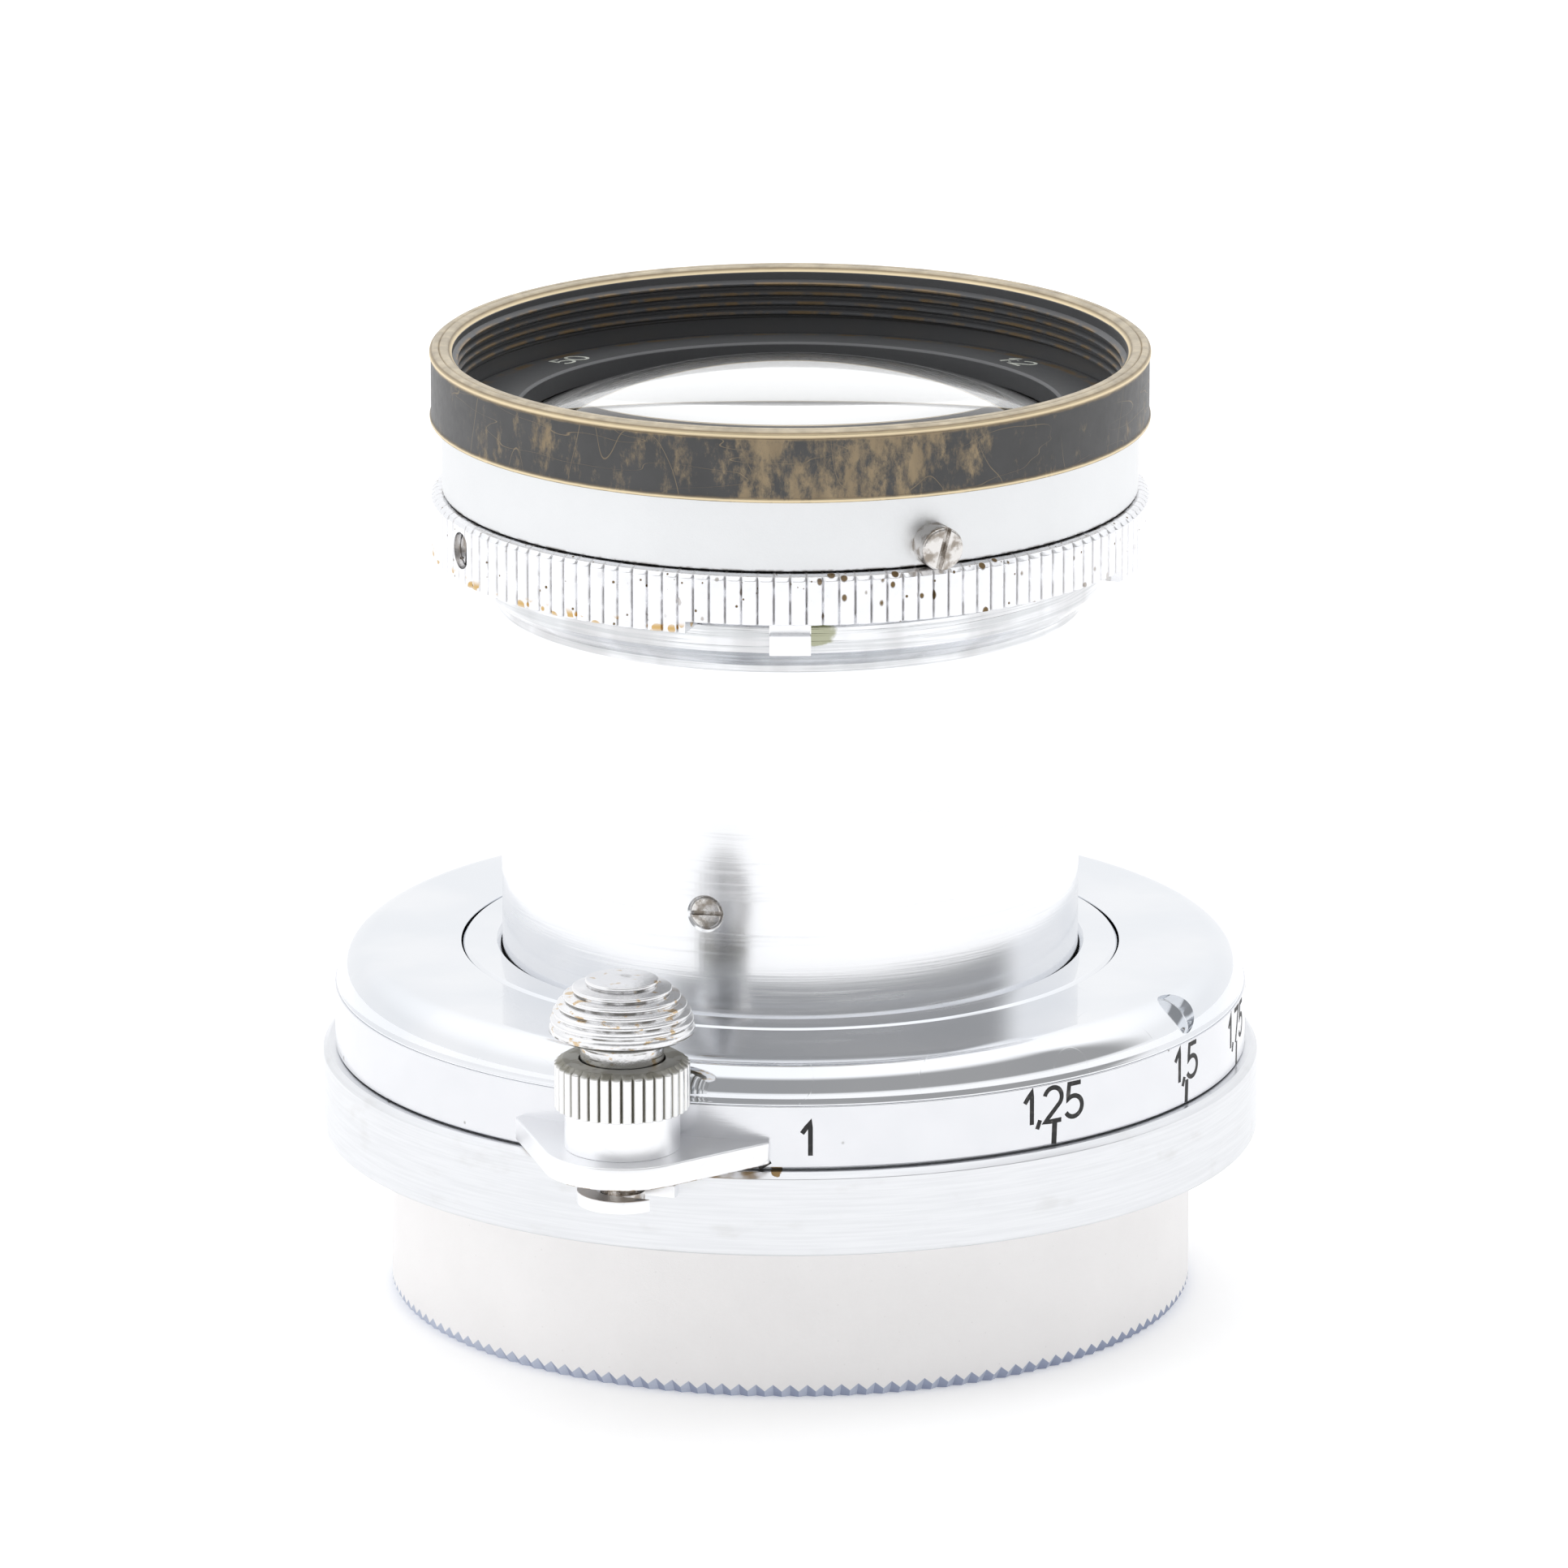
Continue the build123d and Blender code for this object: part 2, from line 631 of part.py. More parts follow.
def knob_sleeve():
    """Sleeve riveted in the lever that guides the lock pin and holds its spring."""
    bore_r = PIN_R + PIN_FIT
    return knob_part([
        (bore_r, LEVER_Z), (SLEEVE_RIVET_R, LEVER_Z), (SLEEVE_RIVET_R, LEVER_TOP), (SLEEVE_R, LEVER_TOP),
        (SLEEVE_R, SLEEVE_TOP),
        (SLEEVE_SPIGOT_R, SLEEVE_TOP), (SLEEVE_SPIGOT_R, SLEEVE_SPIGOT_TOP),
        (SPRING_CHAMBER_R, SLEEVE_SPIGOT_TOP), (SPRING_CHAMBER_R, SPRING_CHAMBER_Z),
        (bore_r, SPRING_CHAMBER_Z)])


def knob_collar():
    """Milled collar screwed on the sleeve."""
    ridges = fluted_disc(COLLAR_R, COLLAR_RIDGE_DEPTH, COLLAR_RIDGES, SLEEVE_TOP, COLLAR_TOP)
    ridges = Pos(*knob_centre()) * ridges
    bevel = knob_part([
        (0, SLEEVE_TOP), (COLLAR_R, SLEEVE_TOP), (COLLAR_R, COLLAR_TOP - COLLAR_BEVEL_H),
        (COLLAR_R - COLLAR_BEVEL_R, COLLAR_TOP), (0, COLLAR_TOP)])
    bores = knob_part([
        (0, SLEEVE_TOP - 1), (SLEEVE_SPIGOT_R, SLEEVE_TOP - 1), (SLEEVE_SPIGOT_R, SLEEVE_SPIGOT_TOP),
        (NECK_R + NECK_FIT, SLEEVE_SPIGOT_TOP), (NECK_R + NECK_FIT, COLLAR_TOP + 1), (0, COLLAR_TOP + 1)])
    return (ridges & bevel) - bores


def button_outline():
    """Half outline of the button: neck, under-cut head and a dome of stepped ridges."""
    outline = [(0, NECK_Z), (NECK_R, NECK_Z), (NECK_R, BUTTON_Z), (BUTTON_R - BUTTON_UNDERCUT, BUTTON_Z)]
    step_h = (BUTTON_TOP - BUTTON_Z - BUTTON_BRIM_H) / BUTTON_RIDGES
    for index in range(BUTTON_RIDGES):
        radius = BUTTON_R * sqrt(1 - (index / BUTTON_RIDGES) ** BUTTON_DOME_POWER)
        foot = BUTTON_Z + BUTTON_BRIM_H + index * step_h
        outline.append((radius, foot))
        outline.append((radius, foot + BUTTON_RIDGE_SHARE * step_h))
    outline.append((0, BUTTON_TOP))
    return outline


def lock_button():
    """Domed push button of the infinity lock."""
    return knob_part(button_outline()) - disc_at_knob(PIN_R, NECK_Z - 1, PIN_TOP)


def lock_pin():
    """Pin under the button whose foot rests in the infinity catch."""
    return disc_at_knob(PIN_R, CATCH_Z, PIN_TOP) + disc_at_knob(PIN_FOOT_R, CATCH_Z, PIN_FOOT_TOP)


def lock_spring():
    """Coil spring that lifts the button."""
    low = SPRING_CHAMBER_Z + SPRING_WIRE_R + SPRING_END_GAP
    height = NECK_Z - SPRING_WIRE_R - SPRING_END_GAP - low
    path = Helix(pitch=height / SPRING_TURNS, height=height, radius=SPRING_R)
    section = Plane(origin=path @ 0, z_dir=path % 0) * Circle(SPRING_WIRE_R)
    coil = sweep(section, path=path)
    return Pos(*knob_centre()) * Pos(0, 0, low) * coil


# ================================================================ inner helicoid

def channel_starts():
    """Bearing where each of the three lug channels begins."""
    return [LUG_CHANNEL_START + 120 * index for index in range(3)]


def inner_helicoid():
    """Turning helicoid with the tube's guide bore, three lug channels and two key slots."""
    bore_r = TUBE_R + TUBE_FIT
    outer_r = HELICOID_R - HELICOID_FIT
    body = lathe([
        (bore_r, CAM_Z + CAM_H), (outer_r, CAM_Z + CAM_H), (outer_r, HELICOID_TOP),
        (COLLAR_TUBE_R, HELICOID_TOP), (COLLAR_TUBE_R, COLLAR_RING_Z), (FELT_GROOVE_R, COLLAR_RING_Z),
        (FELT_GROOVE_R, FELT_GROOVE_Z), (bore_r, FELT_GROOVE_Z)])
    for start in channel_starts():
        body = body - sector(LUG_CHANNEL_R, bore_r - 1, start, start + LUG_SPAN + TWIST + 2 * LUG_SIDE_GAP,
                             CAM_Z - 1, LUG_CHANNEL_TOP)
    slot_z = COVER_TOP - COVER_WALL - KEY_H - FOCUS_RISE - KEY_SLOT_RUN_OUT
    for bearing in key_bearings():
        body = body - key_slot(bearing, slot_z, COLLAR_RING_Z)
    return body


def key_slot(bearing, z_low, z_high):
    """Slot open to the outside that a drive key slides in."""
    slot = Box(KEY_W + 2 * KEY_SLOT_FIT, KEY_OUT_R - KEY_SLOT_IN_R, z_high - z_low,
               align=(Align.CENTER, Align.MAX, Align.MIN))
    return Rot(0, 0, bearing) * Pos(0, -KEY_SLOT_IN_R, z_low) * slot


def rangefinder_cam():
    """Plain ring at the back of the helicoid that the camera's rangefinder follows."""
    return ring(CAM_R, CAM_BORE_R, CAM_Z, CAM_Z + CAM_H)


def collar_ring():
    """Chamfered ring on top of the helicoid that keeps the felt in its groove."""
    bore_r = TUBE_R + TUBE_FIT
    body = lathe([
        (bore_r, COLLAR_RING_Z), (COLLAR_TUBE_R, COLLAR_RING_Z),
        (COLLAR_TUBE_R, COLLAR_RING_TOP - COLLAR_EDGE),
        (COLLAR_TUBE_R - COLLAR_EDGE, COLLAR_RING_TOP), (bore_r + COLLAR_BORE_CHAMFER, COLLAR_RING_TOP),
        (bore_r, COLLAR_RING_TOP - COLLAR_BORE_CHAMFER)])
    for bearing in key_bearings():
        body = body - key_slot(bearing, COLLAR_RING_Z, COLLAR_RING_Z + COLLAR_NOTCH_H)
    return body


def felt_ring():
    """Felt ring that turns with the tube and seals it against light."""
    return ring(FELT_GROOVE_R - FELT_GAP, TUBE_R + FELT_GAP,
                FELT_GROOVE_Z + FELT_GAP, COLLAR_RING_Z - FELT_GAP)


# ================================================================ telescoping tube

def tube():
    """Polished telescoping tube."""
    body = ring(TUBE_R, TUBE_BORE_R, TUBE_Z, TUBE_TOP)
    place = radial_place(SET_SCREW_BEARING, TUBE_R, SET_SCREW_Z)
    hole = Cylinder(SET_SCREW_HOLE_R, SET_SCREW_LENGTH * 2)
    seat = Pos(0, 0, -SET_SCREW_SEAT_H / 2) * Cone(SET_SCREW_HOLE_R, SET_SCREW_SEAT_R, SET_SCREW_SEAT_H)
    return body - place * hole - place * seat


def bayonet_lugs():
    """Three lugs on the tube's foot that run in the helicoid's channels."""
    top = LUG_CHANNEL_TOP - LUG_FIT
    lugs = []
    for channel_start in channel_starts():
        start = channel_start + LUG_SIDE_GAP
        lugs.append(sector(LUG_CHANNEL_R - LUG_FIT, TUBE_R, start, start + LUG_SPAN, top - LUG_H, top))
    return lugs


def tube_set_screw():
    """Slotted screw that pins the iris housing in the tube."""
    screw = slotted_screw(SET_SCREW_HEAD_R, SET_SCREW_HEAD_H, SET_SCREW_SHANK_R, SET_SCREW_LENGTH,
                          SET_SCREW_SLOT_W, countersunk=True)
    return radial_place(SET_SCREW_BEARING, TUBE_R - SET_SCREW_SUNK, SET_SCREW_Z, SET_SCREW_ROLL) * screw


# ================================================================ head

def head_barrel():
    """Head barrel: lip over the tube, flange under the aperture ring, seat of the front cell."""
    body = lathe([
        (TUBE_R, LIP_Z), (LIP_R, LIP_Z), (LIP_R, LIP_Z + LIP_H), (HEAD_FLANGE_R, HEAD_FLANGE_Z),
        (HEAD_FLANGE_R, HEAD_FLANGE_TOP), (HEAD_R, HEAD_FLANGE_TOP), (HEAD_R, HEAD_TOP),
        (HEAD_SEAT_R, HEAD_TOP), (HEAD_SEAT_R, HEAD_SEAT_Z), (HEAD_BORE_R, HEAD_SEAT_Z),
        (HEAD_BORE_R, TUBE_TOP), (TUBE_R, TUBE_TOP)])
    start = GRUB_BEARING - STOP_DOWN - GRUB_SLOT_MARGIN
    end = GRUB_BEARING + OPEN_UP + GRUB_SLOT_MARGIN
    slot = sector(HEAD_R + 1, HEAD_BORE_R - 1, start, end,
                  GRUB_Z - GRUB_SLOT_HALF_H, GRUB_Z + GRUB_SLOT_HALF_H)
    return body - slot


def stop_block():
    """Stop on the head flange that the aperture ring's cutaway runs against."""
    corner = (Align.CENTER, Align.MIN, Align.MIN)
    foot_z = HEAD_FLANGE_Z + STOP_GAP
    block = Pos(0, -STOP_R, foot_z) * Box(STOP_W, STOP_R - HEAD_R, STOP_TOP - foot_z, align=corner)
    tongue = Box(STOP_W, STOP_TONGUE_DEPTH, STOP_TONGUE_TOP - foot_z, align=corner)
    block = block + Pos(0, -HEAD_FLANGE_R - STOP_TONGUE_DEPTH, foot_z) * tongue
    return block - disc(HEAD_FLANGE_R, HEAD_FLANGE_Z - 1, STOP_TONGUE_TOP + 1)


def smooth_band():
    """Satin band screwed on the head barrel above the aperture ring."""
    body = lathe([
        (HEAD_R, BAND_Z), (BAND_R - BAND_EDGE, BAND_Z), (BAND_R, BAND_Z + BAND_EDGE), (BAND_R, BAND_TOP),
        (BAND_COUNTERBORE_R, BAND_TOP), (BAND_COUNTERBORE_R, BAND_COUNTERBORE_Z),
        (HEAD_R, BAND_COUNTERBORE_Z)])
    hole = Cylinder(INDEX_SCREW_R, 2 * INDEX_SCREW_LENGTH - 2 * INDEX_SCREW_PROUD)
    return body - radial_place(INDEX_SCREW_BEARING, BAND_R, INDEX_SCREW_Z) * hole


def index_screw():
    """Cheese-head screw standing proud of the satin band."""
    screw = slotted_screw(INDEX_SCREW_HEAD_R, INDEX_SCREW_HEAD_H, INDEX_SCREW_R, INDEX_SCREW_LENGTH,
                          INDEX_SCREW_SLOT_W)
    head_r = BAND_R + INDEX_SCREW_PROUD
    return radial_place(INDEX_SCREW_BEARING, head_r, INDEX_SCREW_Z, INDEX_SCREW_ROLL) * screw


def front_ring():
    """Black-painted brass front ring, threaded inside for a filter and smooth outside for a push-on cap."""
    return lathe([
        (FRONT_SPIGOT_BORE_R, BAND_COUNTERBORE_Z), (BAND_COUNTERBORE_R, BAND_COUNTERBORE_Z),
        (BAND_COUNTERBORE_R, BAND_TOP), (FRONT_RING_R, BAND_TOP), (FRONT_RING_R, RIM_TOP - RIM_CHAMFER_H),
        (FRONT_RING_R - RIM_OUTER_CHAMFER, RIM_TOP), (FRONT_THREAD_R + RIM_INNER_CHAMFER, RIM_TOP),
        (FRONT_THREAD_R, RIM_TOP - RIM_CHAMFER_H), (FRONT_THREAD_R, FRONT_THREAD_Z),
        (FRONT_RELIEF_R, FRONT_THREAD_Z), (FRONT_RELIEF_R, FRONT_RELIEF_Z),
        (FRONT_SPIGOT_BORE_R, FRONT_RELIEF_Z)])


def name_ring():
    """Black ring round the front element, plain-faced."""
    return lathe([
        (NAME_RING_BORE_R, NAME_RING_Z), (NAME_RING_R, NAME_RING_Z), (NAME_RING_R, NAME_RING_EDGE_TOP),
        (NAME_RING_BORE_R + NAME_RING_BORE_EDGE_R, NAME_RING_TOP),
        (NAME_RING_BORE_R, NAME_RING_TOP - NAME_RING_BORE_EDGE_H)])


# ================================================================ aperture ring and iris

def aperture_ring():
    """Fluted aperture ring with a cutaway skirt that its stop runs in."""
    fluted_top = APERTURE_TOP - APERTURE_LAND
    body = fluted_disc(APERTURE_R, FLUTE_DEPTH, FLUTES, APERTURE_Z, fluted_top)
    body = body + lathe([
        (0, fluted_top), (APERTURE_R - FLUTE_DEPTH, fluted_top),
        (APERTURE_R - FLUTE_DEPTH - APERTURE_LAND_BEVEL, APERTURE_TOP), (0, APERTURE_TOP)])
    body = body - disc(APERTURE_BORE_R, APERTURE_Z - 1, APERTURE_TOP + 1)
    body = body - sector(APERTURE_R + 1, APERTURE_BORE_R - 1, CUTAWAY_START, CUTAWAY_END,
                         APERTURE_Z - 1, CUTAWAY_TOP)
    return body - radial_place(GRUB_BEARING, APERTURE_R, GRUB_Z) * Cylinder(GRUB_HEAD_R, 2 * GRUB_LENGTH)


def aperture_grub_screw():
    """Recessed slotted screw that joins the aperture ring to the iris actuator."""
    screw = slotted_screw(GRUB_HEAD_R, GRUB_HEAD_H, GRUB_PIN_R, GRUB_LENGTH, GRUB_SLOT_W)
    return radial_place(GRUB_BEARING, APERTURE_R - GRUB_SUNK, GRUB_Z, GRUB_ROLL) * screw


def iris_actuator():
    """Sleeve and slotted plate inside the head that turn the blades."""
    bore_r = ACTUATOR_R - ACTUATOR_WALL
    body = lathe([
        (IRIS_PLATE_R, ACTUATOR_Z), (ACTUATOR_R, ACTUATOR_Z), (ACTUATOR_R, ACTUATOR_TOP),
        (bore_r, ACTUATOR_TOP), (bore_r, ACTUATOR_Z + ACTUATOR_PLATE_H),
        (IRIS_PLATE_R, ACTUATOR_Z + ACTUATOR_PLATE_H)])
    return body - radial_place(GRUB_BEARING, ACTUATOR_R, GRUB_Z) * Cylinder(GRUB_PIN_R, 4 * ACTUATOR_WALL)


def pivot_place(index):
    """Pivot of one blade on the iris floor."""
    return bearing_point(BLADE_PIVOT_R, 360 * index / BLADES)


def iris_housing():
    """Housing pinned in the tube whose floor carries the blade pivots."""
    body = lathe([
        (IRIS_OPEN_R, IRIS_FLOOR_Z), (REAR_CELL_R, IRIS_FLOOR_Z), (REAR_CELL_R, IRIS_SKIRT_Z),
        (TUBE_BORE_R, IRIS_SKIRT_Z), (TUBE_BORE_R, IRIS_HOUSING_TOP), (IRIS_CHAMBER_R, IRIS_HOUSING_TOP),
        (IRIS_CHAMBER_R, IRIS_FLOOR_TOP), (IRIS_OPEN_R, IRIS_FLOOR_TOP)])
    for index in range(BLADES):
        pivot = pivot_place(index)
        centre = (pivot.X, pivot.Y)
        body = body - disc(BLADE_STUD_R + BLADE_STUD_FIT, BLADE_HOLE_FLOOR_Z, IRIS_FLOOR_TOP + 1, centre)
    hole = bored(SET_SCREW_SHANK_R, TUBE_R - REAR_CELL_R)
    return body - radial_place(SET_SCREW_BEARING, TUBE_R - SET_SCREW_SUNK, SET_SCREW_Z) * hole


def blade_at_pivot(level):
    """One blade fully open, pivot at bearing 0, with its stud reaching down to the iris floor."""
    top = level + BLADE_T
    middle_r = (BLADE_OUTER_R + BLADE_INNER_R) / 2
    crescent = sector(BLADE_OUTER_R, BLADE_INNER_R, 0, BLADE_SPAN, level, top)
    heel = disc((BLADE_OUTER_R - BLADE_INNER_R) / 2, level, top, (0, -middle_r))
    arm = Box(2 * BLADE_EYE_R, BLADE_PIVOT_R - middle_r, BLADE_T, align=(Align.CENTER, Align.MIN, Align.MIN))
    arm = Pos(0, -BLADE_PIVOT_R, level) * arm
    eye = disc(BLADE_EYE_R, level, top, (0, -BLADE_PIVOT_R))
    stud = disc(BLADE_STUD_R, BLADE_STUD_FOOT_Z, top, (0, -BLADE_PIVOT_R))
    return crescent + heel + arm + eye + stud


def iris_blade(index):
    """Blade in its place, turned in by the ring's rest position."""
    turn_in = OPEN_UP * BLADE_TURN_PER_RING_TURN
    blade = blade_at_pivot(BLADE_Z + index * BLADE_LEVEL_STEP)
    turned = Pos(0, -BLADE_PIVOT_R, 0) * Rot(0, 0, turn_in) * Pos(0, BLADE_PIVOT_R, 0) * blade
    return Rot(0, 0, 360 * index / BLADES) * turned


# ================================================================ glass and cells

def surface_z(vertex_z, curvature_r, radius):
    """Height of a spherical surface at a distance from the axis."""
    sag = abs(curvature_r) - sqrt(curvature_r ** 2 - radius ** 2)
    return vertex_z - sag if curvature_r > 0 else vertex_z + sag


def surface_arc(vertex_z, curvature_r, from_r, to_r):
    """Arc of a spherical surface in the half section."""
    middle_r = (from_r + to_r) / 2
    stops = [(radius, surface_z(vertex_z, curvature_r, radius)) for radius in (from_r, middle_r, to_r)]
    return ThreePointArc(*stops)


def element(rim_r, front_z, front_curve, back_z, back_curve, front_clear=None, back_clear=None):
    """Glass element with spherical faces; a clear radius under the rim's leaves a flat bevel round it."""
    front_clear = front_clear or rim_r
    back_clear = back_clear or rim_r
    front_edge = surface_z(front_z, front_curve, front_clear)
    back_edge = surface_z(back_z, back_curve, back_clear)
    rim = [(front_clear, front_edge), (rim_r, front_edge), (rim_r, back_edge), (back_clear, back_edge)]
    corners = [point for index, point in enumerate(rim) if index == 0 or point != rim[index - 1]]
    lines = [surface_arc(front_z, front_curve, 0, front_clear), Polyline(*corners),
             surface_arc(back_z, back_curve, back_clear, 0), Line((0, back_z), (0, front_z))]
    profile = make_face([Plane.XZ * edge for line in lines for edge in line.edges()])
    return revolve(profile, Axis.Z, 360)


def front_element():
    """Front singlet."""
    return element(FRONT_ELEMENT_R, FRONT_VERTEX_Z, FRONT_VERTEX_CURVE, FRONT_BACK_Z, FRONT_BACK_CURVE)


def front_doublet_crown():
    """Front half of the front cemented pair."""
    return element(FRONT_DOUBLET_R, FRONT_DOUBLET_Z, FRONT_DOUBLET_CURVE, FRONT_CEMENT_Z, FRONT_CEMENT_CURVE)


def front_doublet_flint():
    """Back half of the front cemented pair."""
    return element(FRONT_DOUBLET_R, FRONT_CEMENT_Z, FRONT_CEMENT_CURVE, FRONT_DOUBLET_BACK_Z,
                   FRONT_DOUBLET_BACK_CURVE, back_clear=FRONT_DOUBLET_BACK_CLEAR_R)


def rear_doublet_flint():
    """Front half of the rear cemented pair."""
    return element(REAR_DOUBLET_R, REAR_DOUBLET_Z, REAR_DOUBLET_CURVE, REAR_CEMENT_Z, REAR_CEMENT_CURVE,
                   front_clear=REAR_DOUBLET_CLEAR_R)


def rear_doublet_crown():
    """Back half of the rear cemented pair."""
    return element(REAR_DOUBLET_R, REAR_CEMENT_Z, REAR_CEMENT_CURVE, REAR_DOUBLET_BACK_Z,
                   REAR_DOUBLET_BACK_CURVE)


def rear_element():
    """Rear singlet."""
    return element(REAR_ELEMENT_R, REAR_ELEMENT_Z, REAR_ELEMENT_CURVE, REAR_ELEMENT_BACK_Z,
                   REAR_ELEMENT_BACK_CURVE)


def front_singlet_seat_z():
    """Height of the front singlet's back edge."""
    return surface_z(FRONT_BACK_Z, FRONT_BACK_CURVE, FRONT_ELEMENT_R)


def front_cell():
    """Cell that holds the front three elements in the head."""
    step_z = front_singlet_seat_z() - FRONT_SEAT_STEP
    doublet_z = surface_z(FRONT_DOUBLET_BACK_Z, FRONT_DOUBLET_BACK_CURVE, FRONT_DOUBLET_BACK_CLEAR_R)
    return lathe([
        (FRONT_CELL_BORE_R, FRONT_CELL_Z), (FRONT_CELL_R, FRONT_CELL_Z), (FRONT_CELL_R, HEAD_SEAT_Z),
        (HEAD_SEAT_R, HEAD_SEAT_Z), (HEAD_SEAT_R, HEAD_TOP), (FRONT_ELEMENT_R, HEAD_TOP),
        (FRONT_ELEMENT_R, step_z), (FRONT_DOUBLET_R, step_z), (FRONT_DOUBLET_R, doublet_z),
        (FRONT_CELL_BORE_R, doublet_z)])


def front_spacer():
    """Blackened ring between the front singlet and the front pair."""
    inner_r = FRONT_DOUBLET_R - SPACER_WALL
    low = surface_z(FRONT_DOUBLET_Z, FRONT_DOUBLET_CURVE, inner_r)
    high = front_singlet_seat_z()
    return lathe([
        (inner_r, low), (FRONT_DOUBLET_R, low), (FRONT_DOUBLET_R, high - FRONT_SEAT_STEP),
        (FRONT_ELEMENT_R, high - FRONT_SEAT_STEP), (FRONT_ELEMENT_R, high), (inner_r, high)])


def rear_cell():
    """Cell that holds the rear three elements behind the iris."""
    return lathe([
        (REAR_ELEMENT_R, REAR_CELL_Z), (REAR_CELL_R, REAR_CELL_Z), (REAR_CELL_R, REAR_CELL_TOP),
        (REAR_DOUBLET_R, REAR_CELL_TOP), (REAR_DOUBLET_R, REAR_CELL_STEP_Z),
        (REAR_ELEMENT_R, REAR_CELL_STEP_Z)])


def rear_spacer():
    """Ring between the rear pair and the rear singlet."""
    inner_r = REAR_DOUBLET_R - SPACER_WALL
    low = surface_z(REAR_ELEMENT_Z, REAR_ELEMENT_CURVE, inner_r)
    return ring(REAR_ELEMENT_R, inner_r, low, REAR_CELL_STEP_Z)


def rear_retaining_ring():
    """Threaded ring behind the rear singlet."""
    inner_r = REAR_ELEMENT_R - RETAINER_WALL
    return ring(REAR_ELEMENT_R, inner_r, REAR_CELL_Z,
                surface_z(REAR_ELEMENT_BACK_Z, REAR_ELEMENT_BACK_CURVE, inner_r))


# ================================================================ assembly

def flange_screws():
    """Three screws in the mounting face."""
    return [place * flange_screw() for place in flange_screw_places()]


NODES = {
    "rear_cap": rear_cap,
    "mount_barrel": mount_barrel,
    "flange_ring": flange_ring,
    "flange_screws": flange_screws,
    "infinity_catch": infinity_catch,
    "focus_retaining_ring": focus_retaining_ring,
    "scale_ring": scale_ring,
    "shoulder_cover": shoulder_cover,
    "cover_grub_screw": cover_grub_screw,
    "drive_keys": drive_keys,
    "key_screws": key_screws,
    "focus_lever": focus_lever,
    "lever_screws": lever_screws,
    "knob_sleeve": knob_sleeve,
    "knob_collar": knob_collar,
    "lock_button": lock_button,
    "lock_pin": lock_pin,
    "lock_spring": lock_spring,
    "inner_helicoid": inner_helicoid,
    "rangefinder_cam": rangefinder_cam,
    "collar_ring": collar_ring,
    "felt_ring": felt_ring,
    "tube": tube,
    "bayonet_lugs": bayonet_lugs,
    "tube_set_screw": tube_set_screw,
    "head_barrel": head_barrel,
    "stop_block": stop_block,
    "smooth_band": smooth_band,
    "index_screw": index_screw,
    "front_ring": front_ring,
    "name_ring": name_ring,
    "aperture_ring": aperture_ring,
    "aperture_grub_screw": aperture_grub_screw,
    "iris_actuator": iris_actuator,
    "iris_housing": iris_housing,
    "front_cell": front_cell,
    "front_element": front_element,
    "front_spacer": front_spacer,
    "front_doublet_crown": front_doublet_crown,
    "front_doublet_flint": front_doublet_flint,
    "rear_cell": rear_cell,
    "rear_doublet_flint": rear_doublet_flint,
    "rear_doublet_crown": rear_doublet_crown,
    "rear_spacer": rear_spacer,
    "rear_element": rear_element,
    "rear_retaining_ring": rear_retaining_ring,
}
for blade_index in range(BLADES):
    NODES[f"iris_blade_{blade_index + 1}"] = lambda index=blade_index: iris_blade(index)

os.makedirs("parts", exist_ok=True)
for node_name, build in NODES.items():
    made = build()
    shape = Compound(children=made) if isinstance(made, list) else made
    shape.label = node_name
    export_step(shape, f"parts/{node_name}.step")
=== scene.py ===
from math import acos, atan2, cos, degrees, hypot, pi, radians, sin, sqrt

import bmesh
import bpy
from mathutils import Matrix, Vector


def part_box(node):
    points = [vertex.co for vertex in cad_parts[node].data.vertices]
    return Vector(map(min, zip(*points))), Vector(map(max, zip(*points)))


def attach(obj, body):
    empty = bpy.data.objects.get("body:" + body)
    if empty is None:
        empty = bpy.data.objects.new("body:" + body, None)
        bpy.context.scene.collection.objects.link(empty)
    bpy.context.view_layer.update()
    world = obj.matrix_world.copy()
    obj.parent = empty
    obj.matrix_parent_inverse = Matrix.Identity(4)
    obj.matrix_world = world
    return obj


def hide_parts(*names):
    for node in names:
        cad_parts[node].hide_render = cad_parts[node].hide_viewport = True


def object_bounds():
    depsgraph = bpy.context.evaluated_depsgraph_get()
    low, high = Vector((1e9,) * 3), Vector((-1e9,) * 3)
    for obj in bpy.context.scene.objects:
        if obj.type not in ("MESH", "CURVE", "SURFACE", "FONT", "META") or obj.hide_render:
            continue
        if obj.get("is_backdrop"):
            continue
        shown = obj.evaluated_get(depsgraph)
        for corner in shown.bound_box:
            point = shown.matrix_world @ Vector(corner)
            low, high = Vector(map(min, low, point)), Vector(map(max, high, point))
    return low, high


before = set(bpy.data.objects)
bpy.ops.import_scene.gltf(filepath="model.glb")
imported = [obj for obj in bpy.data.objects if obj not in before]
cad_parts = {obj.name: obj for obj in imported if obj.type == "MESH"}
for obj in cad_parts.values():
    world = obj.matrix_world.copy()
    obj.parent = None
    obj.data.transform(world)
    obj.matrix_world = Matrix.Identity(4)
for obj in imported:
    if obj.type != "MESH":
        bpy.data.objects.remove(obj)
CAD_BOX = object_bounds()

# Looks of a collapsible 50 mm lens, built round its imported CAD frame.
# Lengths are in millimetres until a mesh is made.
# A bearing is the angle round the lens axis from the front (-Y), positive towards +X.
MM = 0.001
SEGMENTS = 360
AXIS = Vector((0, 0, 0))


def span(node):
    """Outer radius, foot and top of a node that is turned round the lens axis."""
    low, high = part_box(node)
    return high.x / MM, low.z / MM, high.z / MM


def heights(node):
    """Foot and top of a node."""
    return [corner.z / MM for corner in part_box(node)]


